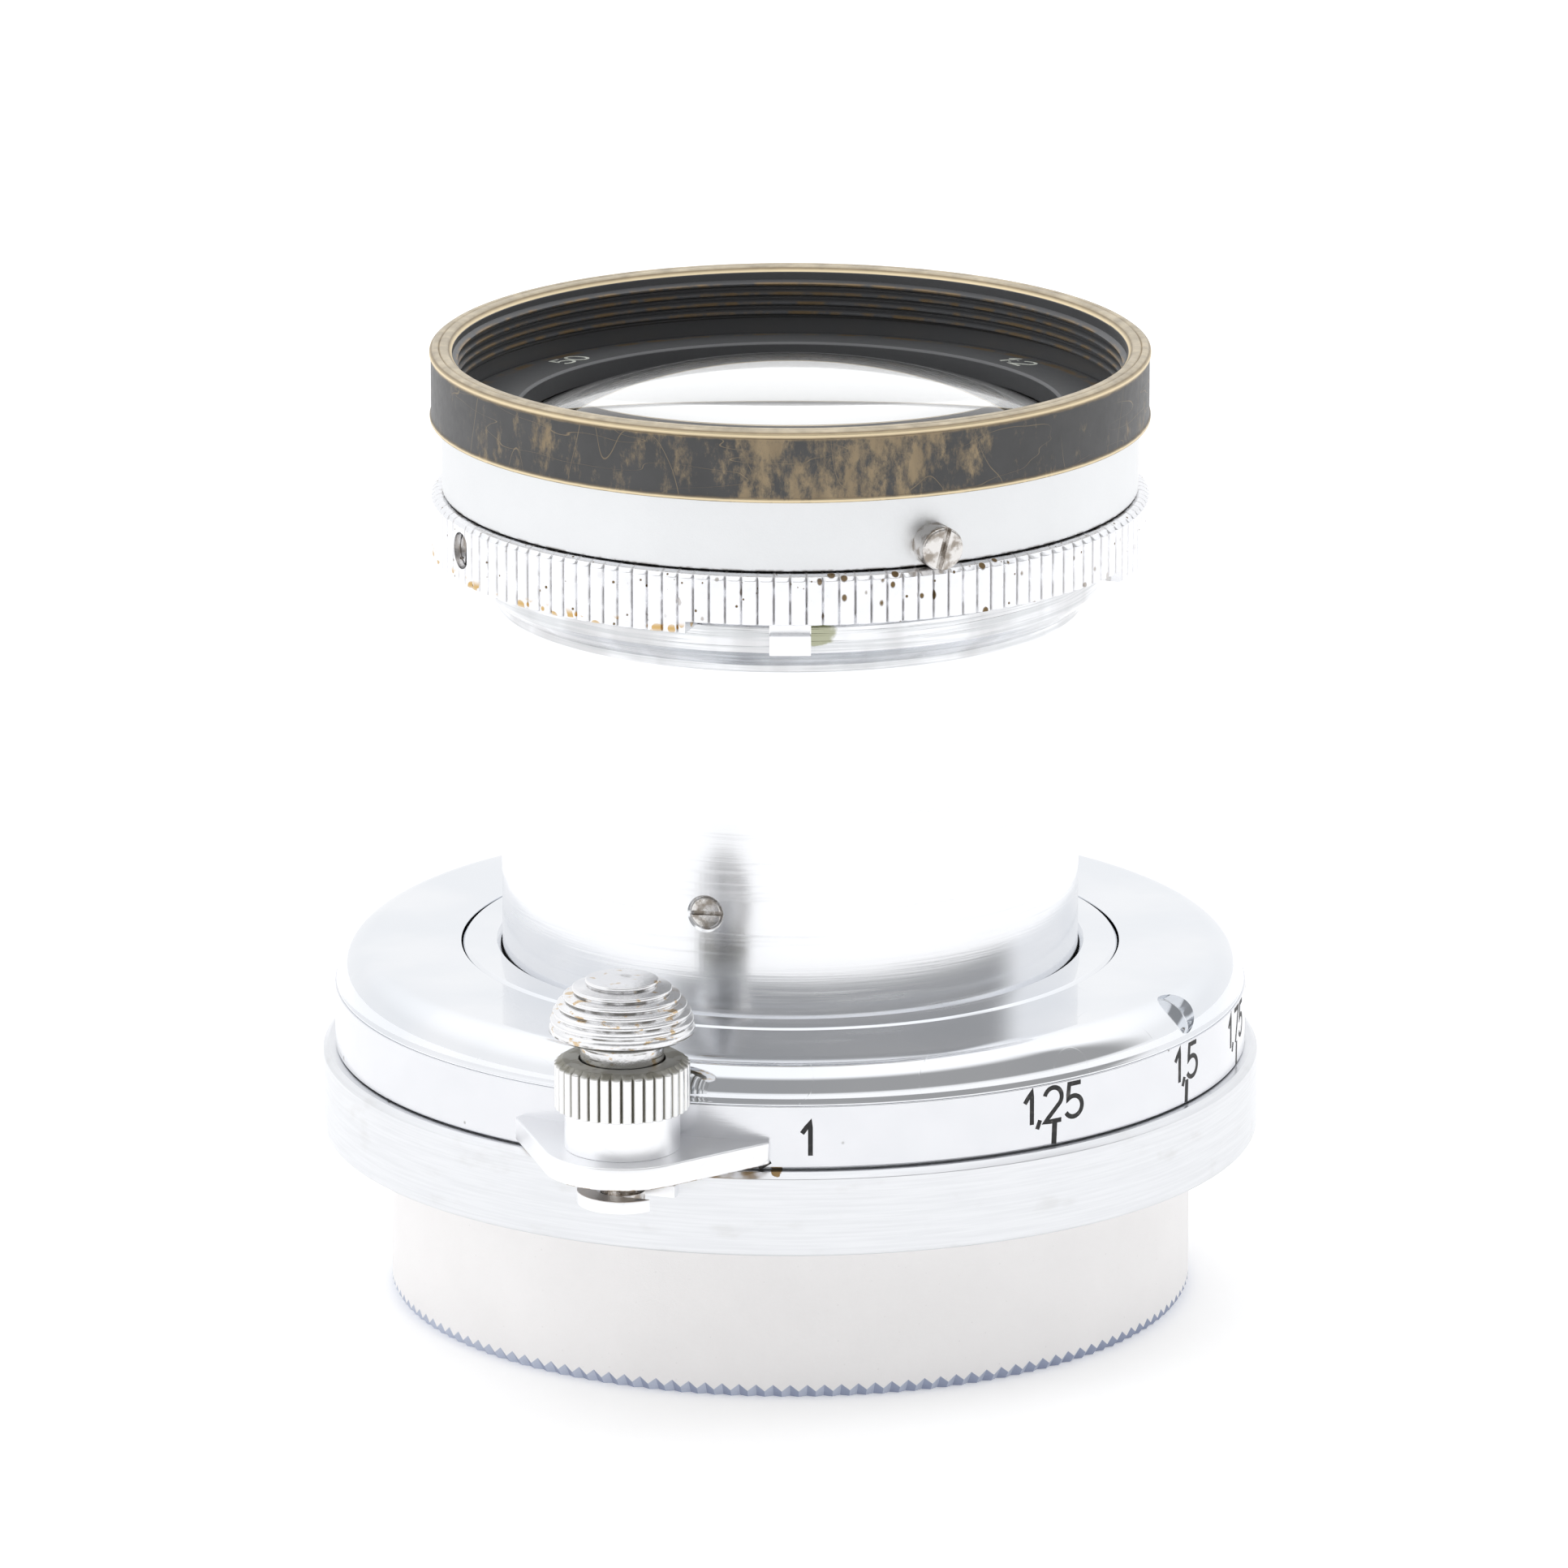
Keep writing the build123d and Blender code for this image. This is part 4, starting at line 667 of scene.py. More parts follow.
def brassed_black():
    """Black paint rubbed through to brass in upright streaks, and all along both edges."""
    look = Look("brassed_black_paint")
    streak = look.noise(0.95, (1, 1, 0.5), detail=8.0, rough=0.72)
    patch = look.noise(0.16, (1, 1, 0.5), detail=3.0)
    scratch = look.hairlines(0.28, (1, 1, 0.35), 0.003) + look.hairlines(0.35, (0.4, 0.4, 2.4), 0.004)
    centre = look.ramp(abs(look.bearing - 8), 34.0, 6.0)
    edge_wander = (look.noise(1.2, detail=4.0) - 0.5) * 0.5
    rim = look.ramp(look.z, FRONT_TOP - 0.10, FRONT_TOP - 0.04)
    top_edge = look.ramp(look.z + edge_wander * 0.3, FRONT_TOP - 0.52, FRONT_TOP - 0.34)
    foot_edge = look.near(look.z + edge_wander * 0.2, BAND_TOP + 0.1, 0.2)
    wear = streak * 0.9 + patch * 0.35 + centre * 0.12 + top_edge * 0.12 + foot_edge * 0.1
    bare = look.math("MAXIMUM", look.ramp(wear, 0.66, 0.84), look.math("MAXIMUM", top_edge, foot_edge))
    bare = look.math("MAXIMUM", bare, scratch * look.ramp(patch, 0.42, 0.5) * 0.8)
    brass = look.blend(look.noise(1.6, (1, 1, 0.3), detail=4.0), (0.17, 0.135, 0.095), (0.40, 0.31, 0.19))
    bright = look.math("MAXIMUM", look.near(look.z, FRONT_TOP - 0.22, 0.14),
                       look.near(look.z, BAND_TOP + 0.1, 0.13))
    brass = look.blend(bright, brass, (0.86, 0.72, 0.48))
    paint = look.blend(look.noise(0.6, detail=4.0), (0.040, 0.040, 0.041), (0.072, 0.072, 0.073))
    worn_rim = look.blend(look.noise(1.1, detail=5.0), (0.24, 0.20, 0.15), (0.80, 0.70, 0.52))
    look.set("Metallic", look.math("MAXIMUM", bare * 0.7, rim * 0.6))
    return look.finished(
        look.blend(rim, look.blend(bare, paint, brass), worn_rim),
        look.noise(2.5) * 0.16 + 0.36,
        look.noise(3.0, (1, 1, 0.4), detail=5.0) * 0.3 - bare * 0.6, 0.01)


def black_enamel():
    """Black inside the front ring, rubbed a little brown on its thread crests."""
    look = Look("black_enamel")
    crest = look.ramp(look.r, FRONT_THREAD_R - 0.12, FRONT_THREAD_R - 0.24) * look.ramp(look.r, 16.0, 16.3)
    rubbed = crest * look.ramp(look.noise(0.8, detail=4.0), 0.42, 0.6)
    look.set("Metallic", rubbed * 0.6)
    return look.finished(
        look.blend(rubbed * 0.7, (0.10, 0.102, 0.106), DULL_BRASS),
        look.noise(1.5) * 0.15 + 0.28,
        look.noise(5.0), 0.004)


def blackened_brass():
    """Chemically blackened brass of the inner cells."""
    look = Look("blackened_brass", Metallic=0.6)
    cloud = look.noise(0.8, (1, 1, 2.0), detail=5.0)
    return look.finished(
        look.blend(cloud, (0.02, 0.018, 0.016), (0.055, 0.045, 0.035)),
        cloud * 0.2 + 0.35,
        look.noise(10.0, (0.05, 0.05, 1.0)), 0.006)


def bare_brass():
    """Turned brass, a little tarnished."""
    look = Look("bare_brass", Metallic=1.0)
    turning = look.noise(9.0, (0.03, 0.03, 1.0), detail=2.0)
    tarnish = look.ramp(look.noise(0.3, detail=5.0), 0.4, 0.7)
    return look.finished(
        look.blend(tarnish, (0.74, 0.53, 0.25), (0.46, 0.31, 0.15)),
        tarnish * 0.15 + 0.2,
        turning, 0.006)


def screw_steel():
    """Nickelled screw with turned face and brown tarnish."""
    look = Look("screw_steel", Metallic=1.0)
    tarnish = look.ramp(look.noise(1.6, detail=5.0), 0.42, 0.62)
    return look.finished(
        look.blend(tarnish, (0.72, 0.70, 0.68), (0.34, 0.30, 0.26)),
        tarnish * 0.25 + 0.14,
        look.noise(4.0, detail=4.0), 0.012)


def iris_steel():
    """Blued spring steel of the iris blades."""
    look = Look("iris_steel", Metallic=1.0)
    rub = look.noise(1.4, detail=4.0)
    return look.finished(
        look.blend(rub, (0.06, 0.065, 0.08), (0.14, 0.145, 0.16)),
        rub * 0.2 + 0.28,
        look.noise(8.0, (1, 0.1, 1)), 0.003)


def felt():
    """Black wool felt."""
    look = Look("felt", Sheen_Weight=0.6)
    fibre = look.noise(6.0, detail=6.0, rough=0.8)
    return look.finished(look.blend(fibre, (0.012, 0.012, 0.012), (0.05, 0.048, 0.045)), 0.95, fibre, 0.08)


def ink():
    """Black wax filling of the engraving."""
    look = Look("engraving_black")
    worn = look.noise(3.0, detail=4.0)
    return look.finished(
        look.blend(look.ramp(worn, 0.5, 0.8), INK, (0.10, 0.095, 0.09)),
        worn * 0.3 + 0.4)


def ink_white():
    """White filling of the figures on the name ring."""
    look = Look("engraving_white")
    worn = look.noise(2.0, detail=4.0)
    return look.finished(
        look.blend(worn, (0.55, 0.58, 0.50), (0.78, 0.80, 0.74)),
        worn * 0.3 + 0.4)


def glass(name="glass", index=1.61, tint=(0.985, 0.99, 0.985)):
    """Uncoated optical glass with a trace of haze."""
    look = Look(name, Transmission_Weight=1.0, IOR=index)
    return look.finished(
        tint,
        look.ramp(look.noise(0.2, detail=4.0), 0.5, 0.8) * 0.02)


def grime():
    """Green and brown deposit in a screw hole."""
    look = Look("screw_hole_grime", Metallic=0.4)
    lumps = look.noise(2.6, detail=5.0)
    colour = look.blend(look.ramp(lumps, 0.3, 0.45), DIRT, VERDIGRIS)
    return look.finished(
        look.blend(look.ramp(lumps, 0.45, 0.6), colour, (0.66, 0.68, 0.56)),
        lumps * 0.3 + 0.35,
        lumps, 0.08)


def hole_brass():
    """Raw edge of a hole drilled through the plating."""
    look = Look("hole_brass", Metallic=1.0)
    lumps = look.noise(2.2, detail=5.0)
    return look.finished(
        look.blend(look.ramp(lumps, 0.35, 0.6), DIRT, (0.50, 0.36, 0.16)),
        lumps * 0.3 + 0.25,
        lumps, 0.03)


POLISHED = polished_chrome()
HEAD = head_chrome()
TUBE = tube_chrome()
BRUSHED = brushed_chrome()
SCALE = scale_chrome()
SATIN = satin_chrome()
ALUMINIUM = satin_aluminium()
FLUTED = fluted_chrome()
LEVER = lever_chrome()
BUTTON = knob_chrome()
COLLAR = collar_chrome()
BLACK_PAINT = brassed_black()
ENAMEL = black_enamel()
BLACKENED = blackened_brass()
BRASS_METAL = bare_brass()
STEEL = screw_steel()
IRIS = iris_steel()
FELT = felt()
INK_BLACK = ink()
INK_WHITE = ink_white()
GLASS = glass()
FLINT = glass("flint_glass", 1.65, (0.985, 0.985, 0.96))
GRIME = grime()
HOLE = hole_brass()


# ================================================================ engraved figures

def arc(cx, cy, radius, start, end, squash=1.0, steps=18):
    """Points along an arc between two angles in degrees."""
    angles = [radians(start + (end - start) * step / steps) for step in range(steps + 1)]
    return [(cx + radius * squash * cos(angle), cy + radius * sin(angle)) for angle in angles]


# Single-stroke figures on a body one unit high: the strokes, then the advance.
FIGURES = {
    "0": ([arc(0.29, 0.5, 0.5, 90, 450, 0.58, 32)], 0.74),
    "1": ([[(0.0, 0.66), (0.24, 1.0), (0.24, 0.0)]], 0.42),
    "2": ([arc(0.29, 0.7, 0.3, 165, -38) + [(0.0, 0.0), (0.58, 0.0)]], 0.74),
    "3": ([arc(0.27, 0.76, 0.24, 150, -80) + arc(0.27, 0.27, 0.28, 80, -150)], 0.72),
    "4": ([[(0.42, 0.0), (0.42, 1.0), (0.0, 0.28), (0.6, 0.28)]], 0.76),
    "5": ([[(0.54, 1.0), (0.12, 1.0), (0.07, 0.54)] + arc(0.28, 0.32, 0.31, 118, -150)], 0.74),
    "7": ([[(0.0, 1.0), (0.56, 1.0), (0.18, 0.0)]], 0.7),
    ",": ([[(0.10, 0.10), (0.0, -0.16)]], 0.26),
    ":": ([[(0.08, 0.2), (0.08, 0.24)], [(0.08, 0.62), (0.08, 0.66)]], 0.3),
    "o": ([arc(0.27, 0.4, 0.27, 0, 360, 1.0, 28) + arc(0.81, 0.4, 0.27, 180, -180, 1.0, 28)], 1.2),
}
DISTANCES = (("1", 2.0), ("1,25", 34.4), ("1,5", 59.0), ("1,75", 77.0))
FAR_DISTANCES = (2.0, 2.5, 3.0, 4.0, 5.0, 7.0, 10.0, 20.0)
INFINITY_BEARING = 169.0
TURN_PER_MM = 57.1
FOCAL_SQUARED = 2662.6
FOCAL_OFFSET = 106.3
FIGURE_H = 1.72
TICK_H = 1.16
STROKE_W = 0.24
TICK_W = 0.3
ENGRAVED = 0.03
UPRIGHT_TICK = [(0.0, 0.0), (0.05, TICK_H)]
# The nearest figure sits lower, its tick short, slanting and to the left of it.
NEAREST_TICK = [(-0.25, 0.0), (0.3, 0.35)]
NEAREST_TICK_LEAD = 5.2
NEAREST_DROP = -0.55
FIGURE_GAP = 0.02
CROWDED = ("7", "20")


def ribbon(points, width):
    """Outline of a stroke with round ends: its left side, then its right side backwards."""
    path = [Vector(point) for point in points]
    left, right = [], []
    for index, here in enumerate(path):
        before = (here - path[index - 1]).normalized() if index else None
        after = (path[index + 1] - here).normalized() if index < len(path) - 1 else None
        along = ((before or after) + (after or before)).normalized()
        side = Vector((-along.y, along.x))
        lean = max(side.dot(Vector((-(after or before).y, (after or before).x))), 0.6)
        left.append(here + side * width / 2 / lean)
        right.append(here - side * width / 2 / lean)
    return left, right


def stroke_mesh(name, strokes, width, depth, wrap):
    """Thin solid ribbons laid on a surface; wrap turns (across, up, out) into a point."""
    vertices, faces = [], []
    for points in strokes:
        dense = []
        for start, end in zip(points, points[1:]):
            steps = max(1, int((Vector(end) - Vector(start)).length / 0.25))
            dense += [Vector(start).lerp(Vector(end), step / steps) for step in range(steps)]
        dense.append(Vector(points[-1]))
        left, right = ribbon(dense, width)
        base = len(vertices)
        for a, b in zip(left, right):
            for side in (a, b):
                for out in (-depth, 0.006):
                    vertices.append(wrap(side.x, side.y, out))
        for step in range(len(left) - 1):
            low, high = base + 4 * step, base + 4 * step + 4
            for p, q in ((0, 1), (1, 3), (3, 2), (2, 0)):
                faces.append((low + p, low + q, high + q, high + p))
        last = base + 4 * (len(left) - 1)
        faces += [(base, base + 1, base + 3, base + 2), (last, last + 1, last + 3, last + 2)]
    return mesh_object(name, vertices, faces)


def figure_strokes(text, height):
    """Strokes of a row of figures, centred on its middle."""
    strokes, pen = [], 0.0
    for mark in text:
        shapes, advance = FIGURES[mark]
        strokes += [[((x + pen) * height, y * height) for x, y in shape] for shape in shapes]
        pen += advance
    width = (pen - 0.16) * height
    return [[(x - width / 2, y) for x, y in stroke] for stroke in strokes]


def on_cylinder(radius, bearing, foot):
    """Wrap that lays a drawing round a cylinder."""
    return lambda across, up, out: bearing_point(radius + out, bearing + degrees(across / radius), foot + up)


def distance_marks():
    """Figures and ticks of the distance scale in metres."""
    marks = list(DISTANCES)
    for metres in FAR_DISTANCES:
        extension = FOCAL_SQUARED / (metres * 1000 - FOCAL_OFFSET)
        marks.append((f"{metres:g}".replace(".", ","), INFINITY_BEARING - TURN_PER_MM * extension))
    marks.append(("o", INFINITY_BEARING))
    foot = SEAT_Z + 0.05
    pieces = []
    for text, bearing in marks:
        nearest = text == "1"
        tick = NEAREST_TICK if nearest else UPRIGHT_TICK
        place = on_cylinder(SCALE_R, bearing - (NEAREST_TICK_LEAD if nearest else 0), foot)
        pieces.append(stroke_mesh("distance_figures", [tick], TICK_W, ENGRAVED, place))
        if text not in CROWDED:
            place = on_cylinder(SCALE_R, bearing, foot + TICK_H + (NEAREST_DROP if nearest else FIGURE_GAP))
            pieces.append(stroke_mesh("figures", figure_strokes(text, FIGURE_H), STROKE_W, ENGRAVED, place))
    return fitted(painted(joined(*pieces), INK_BLACK), "focus_ring", "black_enamel")


def index_mark():
    """Index line of the distance scale at the back of the fixed ring."""
    line = stroke_mesh("index_line", [[(0.0, 0.4), (0.0, 3.2)]], TICK_W, ENGRAVED,
                       on_cylinder(FLANGE_R, INFINITY_BEARING, FLANGE_FOOT + 0.5))
    return fitted(painted(line, INK_BLACK), "mount", "black_enamel")


def name_ring_figures():
    """Focal length and largest stop in plain figures on the name ring."""
    pieces = []
    for text, bearing in (("50", -133.0), ("1:2", 131.0)):
        def wrap(across, up, out, bearing=bearing):
            radius = 14.6 + up
            height = NAME_TOP + 0.01 - (radius - NAME_BORE_R - 0.15) * 0.3 / 3.05 + out
            return bearing_point(radius, bearing - degrees(across / radius), height)
        pieces.append(stroke_mesh("name_ring_figures", figure_strokes(text, 1.35), 0.17, 0.02, wrap))
    return fitted(painted(joined(*pieces), INK_WHITE), "tube", "black_enamel")


# ================================================================ pieces of the mount and rear cap

def rear_cap():
    """Shallow cap with a row of V teeth milled round its bottom corner."""
    outline = [(0, CAP_FOOT), (CAP_R - CAP_TOOTH, CAP_FOOT, 0), (CAP_R, CAP_FLOOR, 0),
               (CAP_R, CAP_FLOOR + 0.004, 0), (CAP_R, CAP_TOP, 0.12), (CAP_BORE_R, CAP_TOP, 0.15),
               (CAP_BORE_R, CAP_FLOOR), (0, CAP_FLOOR)]

    def tooth(bearing, r, z):
        ridge = 1 - abs(2 * (bearing * CAP_TEETH / 360 % 1) - 1)
        if r < CAP_BORE_R + 0.1 or z > CAP_FLOOR + 0.002:
            return r, z
        return (r + 0.2 * ridge, z) if z < CAP_FOOT + 0.01 else (r, z - TOOTH_RISE * ridge)
    bearings = [360 * index / (2 * CAP_TEETH) for index in range(2 * CAP_TEETH)]
    shell = turned("rear_cap_shell", outline, bearings=bearings, shape=tooth)
    return fitted(painted(shell, ALUMINIUM), "rear_cap", "satin_aluminium", "rear_cap", sharp=28)


def flange_screw_tools():
    """Countersunk shapes where the three flange screws sit."""
    tools = []
    for index in range(3):
        place = bearing_point(21.3, 60 + 120 * index)
        outline = [(0, 11.5), (0.5, 11.5, 0), (0.5, 9.0, 0), (0.9, FLANGE_FOOT, 0),
                   (0.9, FLANGE_FOOT - 0.5, 0), (0, FLANGE_FOOT - 0.5)]
        tools.append(painted(turned("hole", outline, centre=place, bearings=range(0, 360, 10)), HOLE))
    return tools


def flange_ring():
    """Brushed fixed ring with a chamfered top edge."""
    outline = [(THREAD_R, FLANGE_FOOT), (FLANGE_R, FLANGE_FOOT, 0.16), (FLANGE_R, FLANGE_TOP - 0.3, 0.03),
               (FLANGE_R - 0.3, FLANGE_TOP, 0.03), (SKIRT_R + RUN_GAP, FLANGE_TOP, 0.03),
               (SKIRT_R + RUN_GAP, WEB_Z, 0.03), (THREAD_R, WEB_Z, 0.03)]
    ring = painted(turned("fixed_ring", outline), BRUSHED)
    return fitted(cut(ring, *flange_screw_tools()), "mount", "brushed_chrome", "flange_ring")


def infinity_catch():
    """Catch plate: a round-ended tongue with a slot for the lock pin."""
    root = KNOB_ORBIT + 0.5 - FLANGE_R
    tongue = [(x, y) for x, y in arc(0, 0, CATCH_R, 180, 360, steps=40) if x < 0 or y < -CATCH_SLOT_R]
    slot = arc(0, 0, CATCH_SLOT_R, 270, 90, steps=24)
    mouth = (sqrt(CATCH_R ** 2 - CATCH_SLOT_R ** 2), -CATCH_SLOT_R)
    plan = [(-CATCH_R, root), *tongue, mouth, *slot, (CATCH_R, CATCH_SLOT_R), (CATCH_R, root)]
    plate = prism("infinity_catch_plate", plan, *heights("infinity_catch"), 0.05)
    moved(plate, Matrix.Translation(KNOB) @ Matrix.Rotation(radians(KNOB_BEARING), 4, "Z"))
    return fitted(painted(plate, LEVER), "mount", "worn_chrome", "infinity_catch")


def mount_barrel():
    """Threaded mount barrel with its web and the fixed helicoid's bore."""
    relief_r = THREAD_R - 0.75
    outline = [(HELICOID_R, MOUNT_FOOT), (THREAD_ROOT_R, MOUNT_FOOT, 0.2),
               (THREAD_ROOT_R, MOUNT_FOOT + 4.6, 0.02), (relief_r, MOUNT_FOOT + 4.7, 0.02),
               (relief_r, WEB_Z, 0.02), (MOUNT_R, WEB_Z), (MOUNT_R, WEB_Z + 1), (NECK_R, WEB_Z + 1),
               (NECK_R, MOUNT_TOP), (HELICOID_R, MOUNT_TOP)]
    barrel = turned("mount_thread_barrel", outline)
    thread = thread_turns("thread", THREAD_ROOT_R, THREAD_R, MOUNT_FOOT + 0.45, 4.2, THREAD_PITCH)
    return fitted(painted(joined(barrel, thread), BRASS_METAL), "mount", "brass", "mount_barrel")


# ================================================================ pieces of the focusing ring

def scale_ring():
    """Ring that carries the distance scale."""
    bore = NECK_R + RUN_GAP
    step_z = MOUNT_TOP - RUN_GAP
    outline = [(SKIRT_BORE_R, SCALE_FOOT), (SKIRT_R, SCALE_FOOT), (SKIRT_R, SEAT_Z, 0.02),
               (SCALE_R, SEAT_Z, 0.1), (SCALE_R, SCALE_TOP, 0.05), (SCALE_BORE_R, SCALE_TOP),
               (SCALE_BORE_R, step_z), (bore, step_z), (bore, SEAT_Z), (SKIRT_BORE_R, SEAT_Z)]
    return turned_piece("distance_scale_ring", outline, SCALE, "focus_ring", "scale_chrome", "scale_ring")


def slanted_seat():
    """Matrix of the slanted seat of the cover's grub screw, +Z outward."""
    out = (bearing_point(1, COVER_SCREW_BEARING) + Vector((0, 0, 1))).normalized()
    side = Vector((0, 0, 1)).cross(out).normalized()
    turn = Matrix((side, out.cross(side), out)).transposed().to_4x4()
    return Matrix.Translation(bearing_point(22.1, COVER_SCREW_BEARING, 17.15)) @ turn


def shoulder_cover():
    """Polished cover with a full round at its shoulder and the hole of its grub screw."""
    lip_r = COVER_R - 0.12
    shoulder = [(lip_r - COVER_ROUND + COVER_ROUND * cos(a), COVER_TOP - COVER_ROUND + COVER_ROUND * sin(a), 0)
                for a in [radians(90 * step / 24) for step in range(25)]]
    outline = [(COVER_BORE_R, COVER_TOP - 1, 0.05), (COVER_SPIGOT_R, COVER_TOP - 1),
               (COVER_SPIGOT_R, COVER_FOOT), (SCALE_BORE_R, COVER_FOOT), (SCALE_BORE_R, SCALE_TOP, 0.02),
               (COVER_R, SCALE_TOP, 0.03), (COVER_R, SCALE_TOP + 0.1, 0.04), *shoulder,
               (COVER_BORE_R, COVER_TOP, 0.07)]
    cover = painted(turned("shoulder_cover_shell", outline), POLISHED)
    well = turned("well", [(0, -0.42), (COVER_SCREW_R, -0.42, 0.05), (COVER_SCREW_R, 2.0, 0), (0, 2.0)],
                  bearings=range(0, 360, 6))
    notch_r = COLLAR_R + 0.1
    notch = turned("notch", [(0, SCALE_TOP - 1), (notch_r, SCALE_TOP - 1, 0), (notch_r, COVER_TOP + 1, 0),
                             (0, COVER_TOP + 1)], centre=KNOB, bearings=range(0, 360, 4))
    cut(cover, painted(moved(well, slanted_seat()), GRIME), painted(notch, POLISHED))
    return fitted(cover, "focus_ring", "polished_chrome", "shoulder_cover", sharp=40)


def slotted(name, radius, height, slot_w, slot_d, soft=0.08):
    """Slotted screw head, its outer face at the origin and facing +Z."""
    outline = [(0, -height), (radius, -height, 0.02), (radius, 0, soft), (0, 0)]
    head = turned(name, outline, soft, bearings=range(0, 360, 5))
    return cut(head, block("slot", slot_w, 4 * radius, -slot_d, 1.0, 0.01))


def cover_grub_screw():
    """Headless slotted screw deep in the cover's hole."""
    sunk = slanted_seat() @ Matrix.Translation((0, 0, -0.55))
    screw = moved(slotted("cover_grub", 0.74, 2.0, 0.26, 0.35), sunk)
    return fitted(painted(screw, GRIME), "focus_ring", "steel", "cover_grub_screw")


def tangent_point(corner, side):
    """Where a line from a corner touches the lever's round end."""
    reach = corner - KNOB
    turn = side * acos(LEVER_END_R / reach.length)
    return KNOB + (Matrix.Rotation(turn, 3, "Z") @ reach.normalized()) * LEVER_END_R


def focus_lever():
    """Lever plate: round end under the knob, tapering both ways into the scale ring."""
    left = bearing_point(LEVER_BASE_R, KNOB_BEARING - LEVER_HALF_SPAN)
    right = bearing_point(LEVER_BASE_R, KNOB_BEARING + LEVER_HALF_SPAN)
    start = tangent_point(left, 1) - KNOB
    end = tangent_point(right, -1) - KNOB
    first = atan2(start.y, start.x)
    sweep = (atan2(end.y, end.x) - first) % (2 * pi)
    round_end = [KNOB + Vector((cos(first + sweep * k / 60), sin(first + sweep * k / 60), 0)) * LEVER_END_R
                 for k in range(61)]
    root = [bearing_point(LEVER_ROOT_R, KNOB_BEARING + LEVER_HALF_SPAN * (1 - k / 10)) for k in range(21)]
    plan = [(point.x, point.y) for point in [left, *round_end, right, *root]]
    return fitted(painted(prism("focus_lever_plate", plan, LEVER_FOOT, LEVER_TOP, 0.09), LEVER),
                  "focus_ring", "worn_chrome", "focus_lever")


def knob_sleeve():
    """Plain sleeve between the lever and the milled collar."""
    low, high = heights("knob_sleeve")
    outline = [(0.81, low), (1.6, low), (1.6, LEVER_TOP), (SLEEVE_R, LEVER_TOP, 0.05),
               (SLEEVE_R, COLLAR_FOOT, 0.05), (COLLAR_BORE_R, COLLAR_FOOT), (COLLAR_BORE_R, high),
               (1.75, high), (1.75, 14.9), (0.81, 14.9)]
    return turned_piece("knob_sleeve_turned", outline, LEVER, "focus_ring", "chrome", "knob_sleeve",
                        centre=KNOB)


def knob_collar():
    """Collar with broad ridges and narrow grooves."""
    outline = [(COLLAR_BORE_R, COLLAR_FOOT, 0.03), (COLLAR_R, COLLAR_FOOT, 0.06),
               (COLLAR_R, COLLAR_TOP - 0.25, 0.03), (COLLAR_R - 0.4, COLLAR_TOP, 0.04),
               (2.13, COLLAR_TOP, 0.04), (2.13, 17.45, 0.03), (COLLAR_BORE_R, 17.45, 0.03)]

    def ridged(bearing, r, z):
        phase = bearing * COLLAR_RIDGES / 360 % 1
        groove = 0.22 * abs(2 * phase - 1) ** 3
        return (r - groove, z) if r > COLLAR_R - 0.2 else (r, z)
    phases = (0, 0.06, 0.14, 0.26, 0.42, 0.58, 0.74, 0.86, 0.94)
    bearings = [(tooth + phase) * 360 / COLLAR_RIDGES for tooth in range(COLLAR_RIDGES) for phase in phases]
    collar = turned("knob_collar_milled", outline, centre=KNOB, bearings=bearings, shape=ridged)
    return fitted(painted(collar, COLLAR), "focus_ring", "chrome", "knob_collar", sharp=50)


def lock_button():
    """Button with an undercut head and a dome of rounded ridges."""
    outline = [(0, BUTTON_FOOT), (2.05, BUTTON_FOOT, 0.03), (2.05, BUTTON_HEAD_Z - 0.25, 0.2),
               (2.45, BUTTON_HEAD_Z, 0.1), (BUTTON_R - 0.45, BUTTON_HEAD_Z, 0.12),
               (BUTTON_R, BUTTON_HEAD_Z + 0.25, 0.12)]
    for index in range(BUTTON_RIDGES):
        ridge = BUTTON_R * sqrt(1 - (index / BUTTON_RIDGES) ** 1.9)
        following = BUTTON_R * sqrt(1 - ((index + 1) / BUTTON_RIDGES) ** 1.9)
        foot = BUTTON_HEAD_Z + 0.3 + index * BUTTON_RISE
        waist = max(following - 0.1, 0.3)
        outline += [(ridge, foot + 0.08, 0.06), (ridge - 0.02, foot + 0.58 * BUTTON_RISE, 0.08)]
        if index < BUTTON_RIDGES - 1:
            outline += [(waist, foot + 0.92 * BUTTON_RISE, 0.03), (waist, foot + BUTTON_RISE + 0.02, 0.02)]
    outline.append((0, BUTTON_TOP))
    button = turned("lock_button_head", outline, centre=KNOB)
    return fitted(painted(button, BUTTON), "lock_button", "chrome", "lock_button", sharp=60)


# ================================================================ pieces of the helicoid, tube and head

def collar_ring():
    """Chamfered ring round the tube."""
    outline = [(BORE_R, COLLAR_RING_FOOT), (COLLAR_RING_R, COLLAR_RING_FOOT),
               (COLLAR_RING_R, COLLAR_RING_TOP - 0.17, 0.03), (COLLAR_RING_R - 0.17, COLLAR_RING_TOP, 0.03),
               (BORE_R + 0.22, COLLAR_RING_TOP, 0.03),
               (BORE_R, COLLAR_RING_TOP - 0.22, 0.03)]
    return turned_piece("collar_ring_turned", outline, POLISHED, "helicoid", "chrome", "collar_ring")


